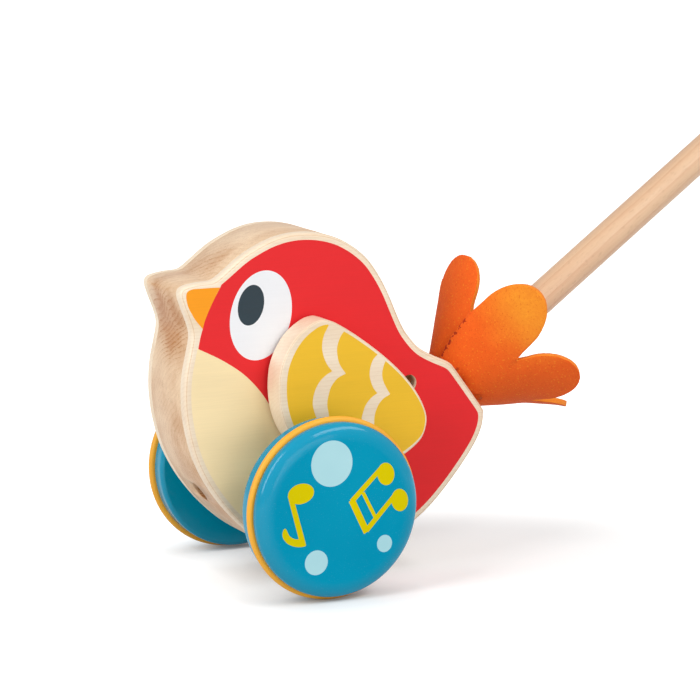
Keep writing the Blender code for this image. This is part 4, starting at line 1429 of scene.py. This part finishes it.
def lapped(angle):
    """How far felt at an angle is lifted off the cone, or sunk into it, to lie over the other end."""
    over = np.clip((angle - math.radians(OVER_FROM)) / math.radians(LAP_TURN), 0, 1)
    under = np.clip((math.radians(UNDER_FROM) - angle) / math.radians(LAP_TURN), 0, 1)
    return FELT_THICKNESS * LAP * (over**2 * (3 - 2 * over) - under**2 * (3 - 2 * under))


def seam_line():
    """Places along the end that laps over."""
    seam = drawn_through([(math.radians(a), flat) for a, flat in SEAM], closed=False)
    return felt_spot(seam[:, 0], seam[:, 1], FELT_THICKNESS * LAP)


ROW_SHARE = 0.87
RIM_CLEARANCE = FELT_SPACING * 0.6


def pattern_filling(outline):
    """Places in even rows inside the pattern, clear of its outline."""
    low, high = outline.min(0), outline.max(0)
    rows = []
    for row, flat in enumerate(np.arange(low[1], high[1], FELT_SPACING * ROW_SHARE)):
        step = FELT_SPACING * PATTERN_RADIUS / felt_lie(flat, 0)[1]
        rows += [(x + row % 2 * step / 2, flat) for x in np.arange(low[0], high[0], step)]
    rows = np.array(rows)
    rows = rows[inside(rows, outline)]
    gaps = []
    for spot in rows:
        scale = felt_lie(spot[1], 0)[1] / PATTERN_RADIUS
        gaps.append(np.linalg.norm((outline - spot) * (scale, 1), axis=1).min())
    return rows[np.array(gaps) > RIM_CLEARANCE]


# The felt's unevenness, and how ragged its cut edge and its seam are, each with its scale to a metre
UNEVEN = 0.0004
UNEVEN_SCALE = 70
UNEVEN_START = 0.020
UNEVEN_FULL = 0.040
RAGGED = 0.00012
SEAM_RAGGED = 0.0005
RAGGED_SCALE = 1400
SEAM_REACH = 0.0022


def felt_sheet():
    """The felt's middle layer: its cut pattern filled with even triangles and rolled into the cone."""
    outline = felt_pattern() * (PATTERN_RADIUS, 1)
    rim = [(i, (i + 1) % len(outline)) for i in range(len(outline))]
    points = [Vector(p) for p in np.concatenate([outline, pattern_filling(outline)])]
    points, _, faces, *_ = delaunay_2d_cdt(points, rim, [], 1, 1e-7)
    flat_spots = np.array([tuple(p) for p in points])
    angle, flat = flat_spots[:, 0] / PATTERN_RADIUS, flat_spots[:, 1]
    lift = lapped(angle)
    spots = petal_pose(felt_spot(angle, flat, lift), angle, flat)
    wave = np.array([noise.noise(Vector(spot) * UNEVEN_SCALE) for spot in spots])
    millimetre_out = felt_spot(angle, flat, lift + 0.001) - felt_spot(angle, flat, lift)
    rise = np.clip((flat - UNEVEN_START) / (UNEVEN_FULL - UNEVEN_START), 0, 1)
    spots += millimetre_out * (wave * UNEVEN / 0.001)[:, None] * rise[:, None]
    form = bmesh.new()
    verts = [form.verts.new(spot) for spot in spots]
    for face in faces:
        form.faces.new([verts[i] for i in face]).smooth = True
    seam = [Vector(spot) for spot in seam_line()]
    for vert in form.verts:
        if vert.is_boundary:
            at_seam = min((vert.co - spot).length for spot in seam) < SEAM_REACH
            vert.co += noise.noise_vector(vert.co * RAGGED_SCALE) * (SEAM_RAGGED if at_seam else RAGGED)
    return form


# Painted light on the near petal's tip: the petal, the tip's reach, and where the light is full and ends
TIP_LIGHT_PETAL = 24
TIP_LIGHT_REACH = 0.066
TIP_LIGHT_FULL = 0.006
TIP_LIGHT_END = 0.036


def painted_tip_light(nodes):
    """Painted light: the felt is lighter towards the tip of the near petal."""
    tip = felt_spot(np.array([math.radians(TIP_LIGHT_PETAL)]), np.array([TIP_LIGHT_REACH]))[0]
    return near_spot(nodes, tip, TIP_LIGHT_FULL, TIP_LIGHT_END)


def felt_dye(name, dye, light, dark, painted_highlight):
    return finished(
        name,
        felted,
        {"Dye": colour(*dye), "Light_Dye": colour(*light), "Dark_Dye": colour(*dark), "Fade": painted_highlight},
        relief=0.00018,
        Specular_IOR_Level=0.1,
        Sheen_Weight=0.1,
    )


FELT = felt_dye("orange_felt", (243, 100, 31), (247, 158, 46), (214, 68, 18), painted_tip_light)
# The felt's cut edges take a lighter copy of it: painted light along the rim
CUT_FELT_PAINTED_LIGHT = felt_dye("cut_felt_painted_light", (246, 136, 38), (250, 168, 62), (232, 104, 28), 0.2)
# The seam takes a dark copy of the felt: painted shade along the end that laps over
SEAM_FELT_PAINTED_SHADE = felt_dye("felt_seam_painted_shade", (176, 48, 16), (214, 92, 34), (132, 30, 10), 0.0)
CUT, SEAM_SHADE = 1, 2
CUT_BEVEL = 0.0003
CUT_ANGLE = math.radians(50)
SEAM_SHADE_REACH = 0.0020
SEAM_SHADE_SCALE = 900

form = felt_sheet()
felt_area = sum(face.calc_area() for face in form.faces)
felt = solid("felt_tail_rolled", form, (FELT, CUT_FELT_PAINTED_LIGHT, SEAM_FELT_PAINTED_SHADE))
thick = felt.modifiers.new("thickness", "SOLIDIFY")
thick.thickness = FELT_THICKNESS
thick.offset = 0
thick.use_even_offset = True
thick.material_offset_rim = CUT
cut_edge = felt.modifiers.new("cut_edge", "BEVEL")
cut_edge.width = CUT_BEVEL
cut_edge.segments = 2
cut_edge.angle_limit = CUT_ANGLE
cut_edge.use_clamp_overlap = False
settled(felt)
# Painted shade: the lapped end's cut edge, and ragged patches of face beside it, take the dark seam felt
seam_spots = seam_line()
for face in felt.data.polygons:
    gap = np.linalg.norm(seam_spots - np.array(face.center), axis=1).min()
    seam_cut = face.material_index == CUT and gap < SEAM_REACH
    seam_shaded = gap < SEAM_SHADE_REACH and noise.noise(face.center * SEAM_SHADE_SCALE) > 0
    if seam_cut or seam_shaded:
        face.material_index = SEAM_SHADE
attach(felt, "body")
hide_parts("felt_tail")
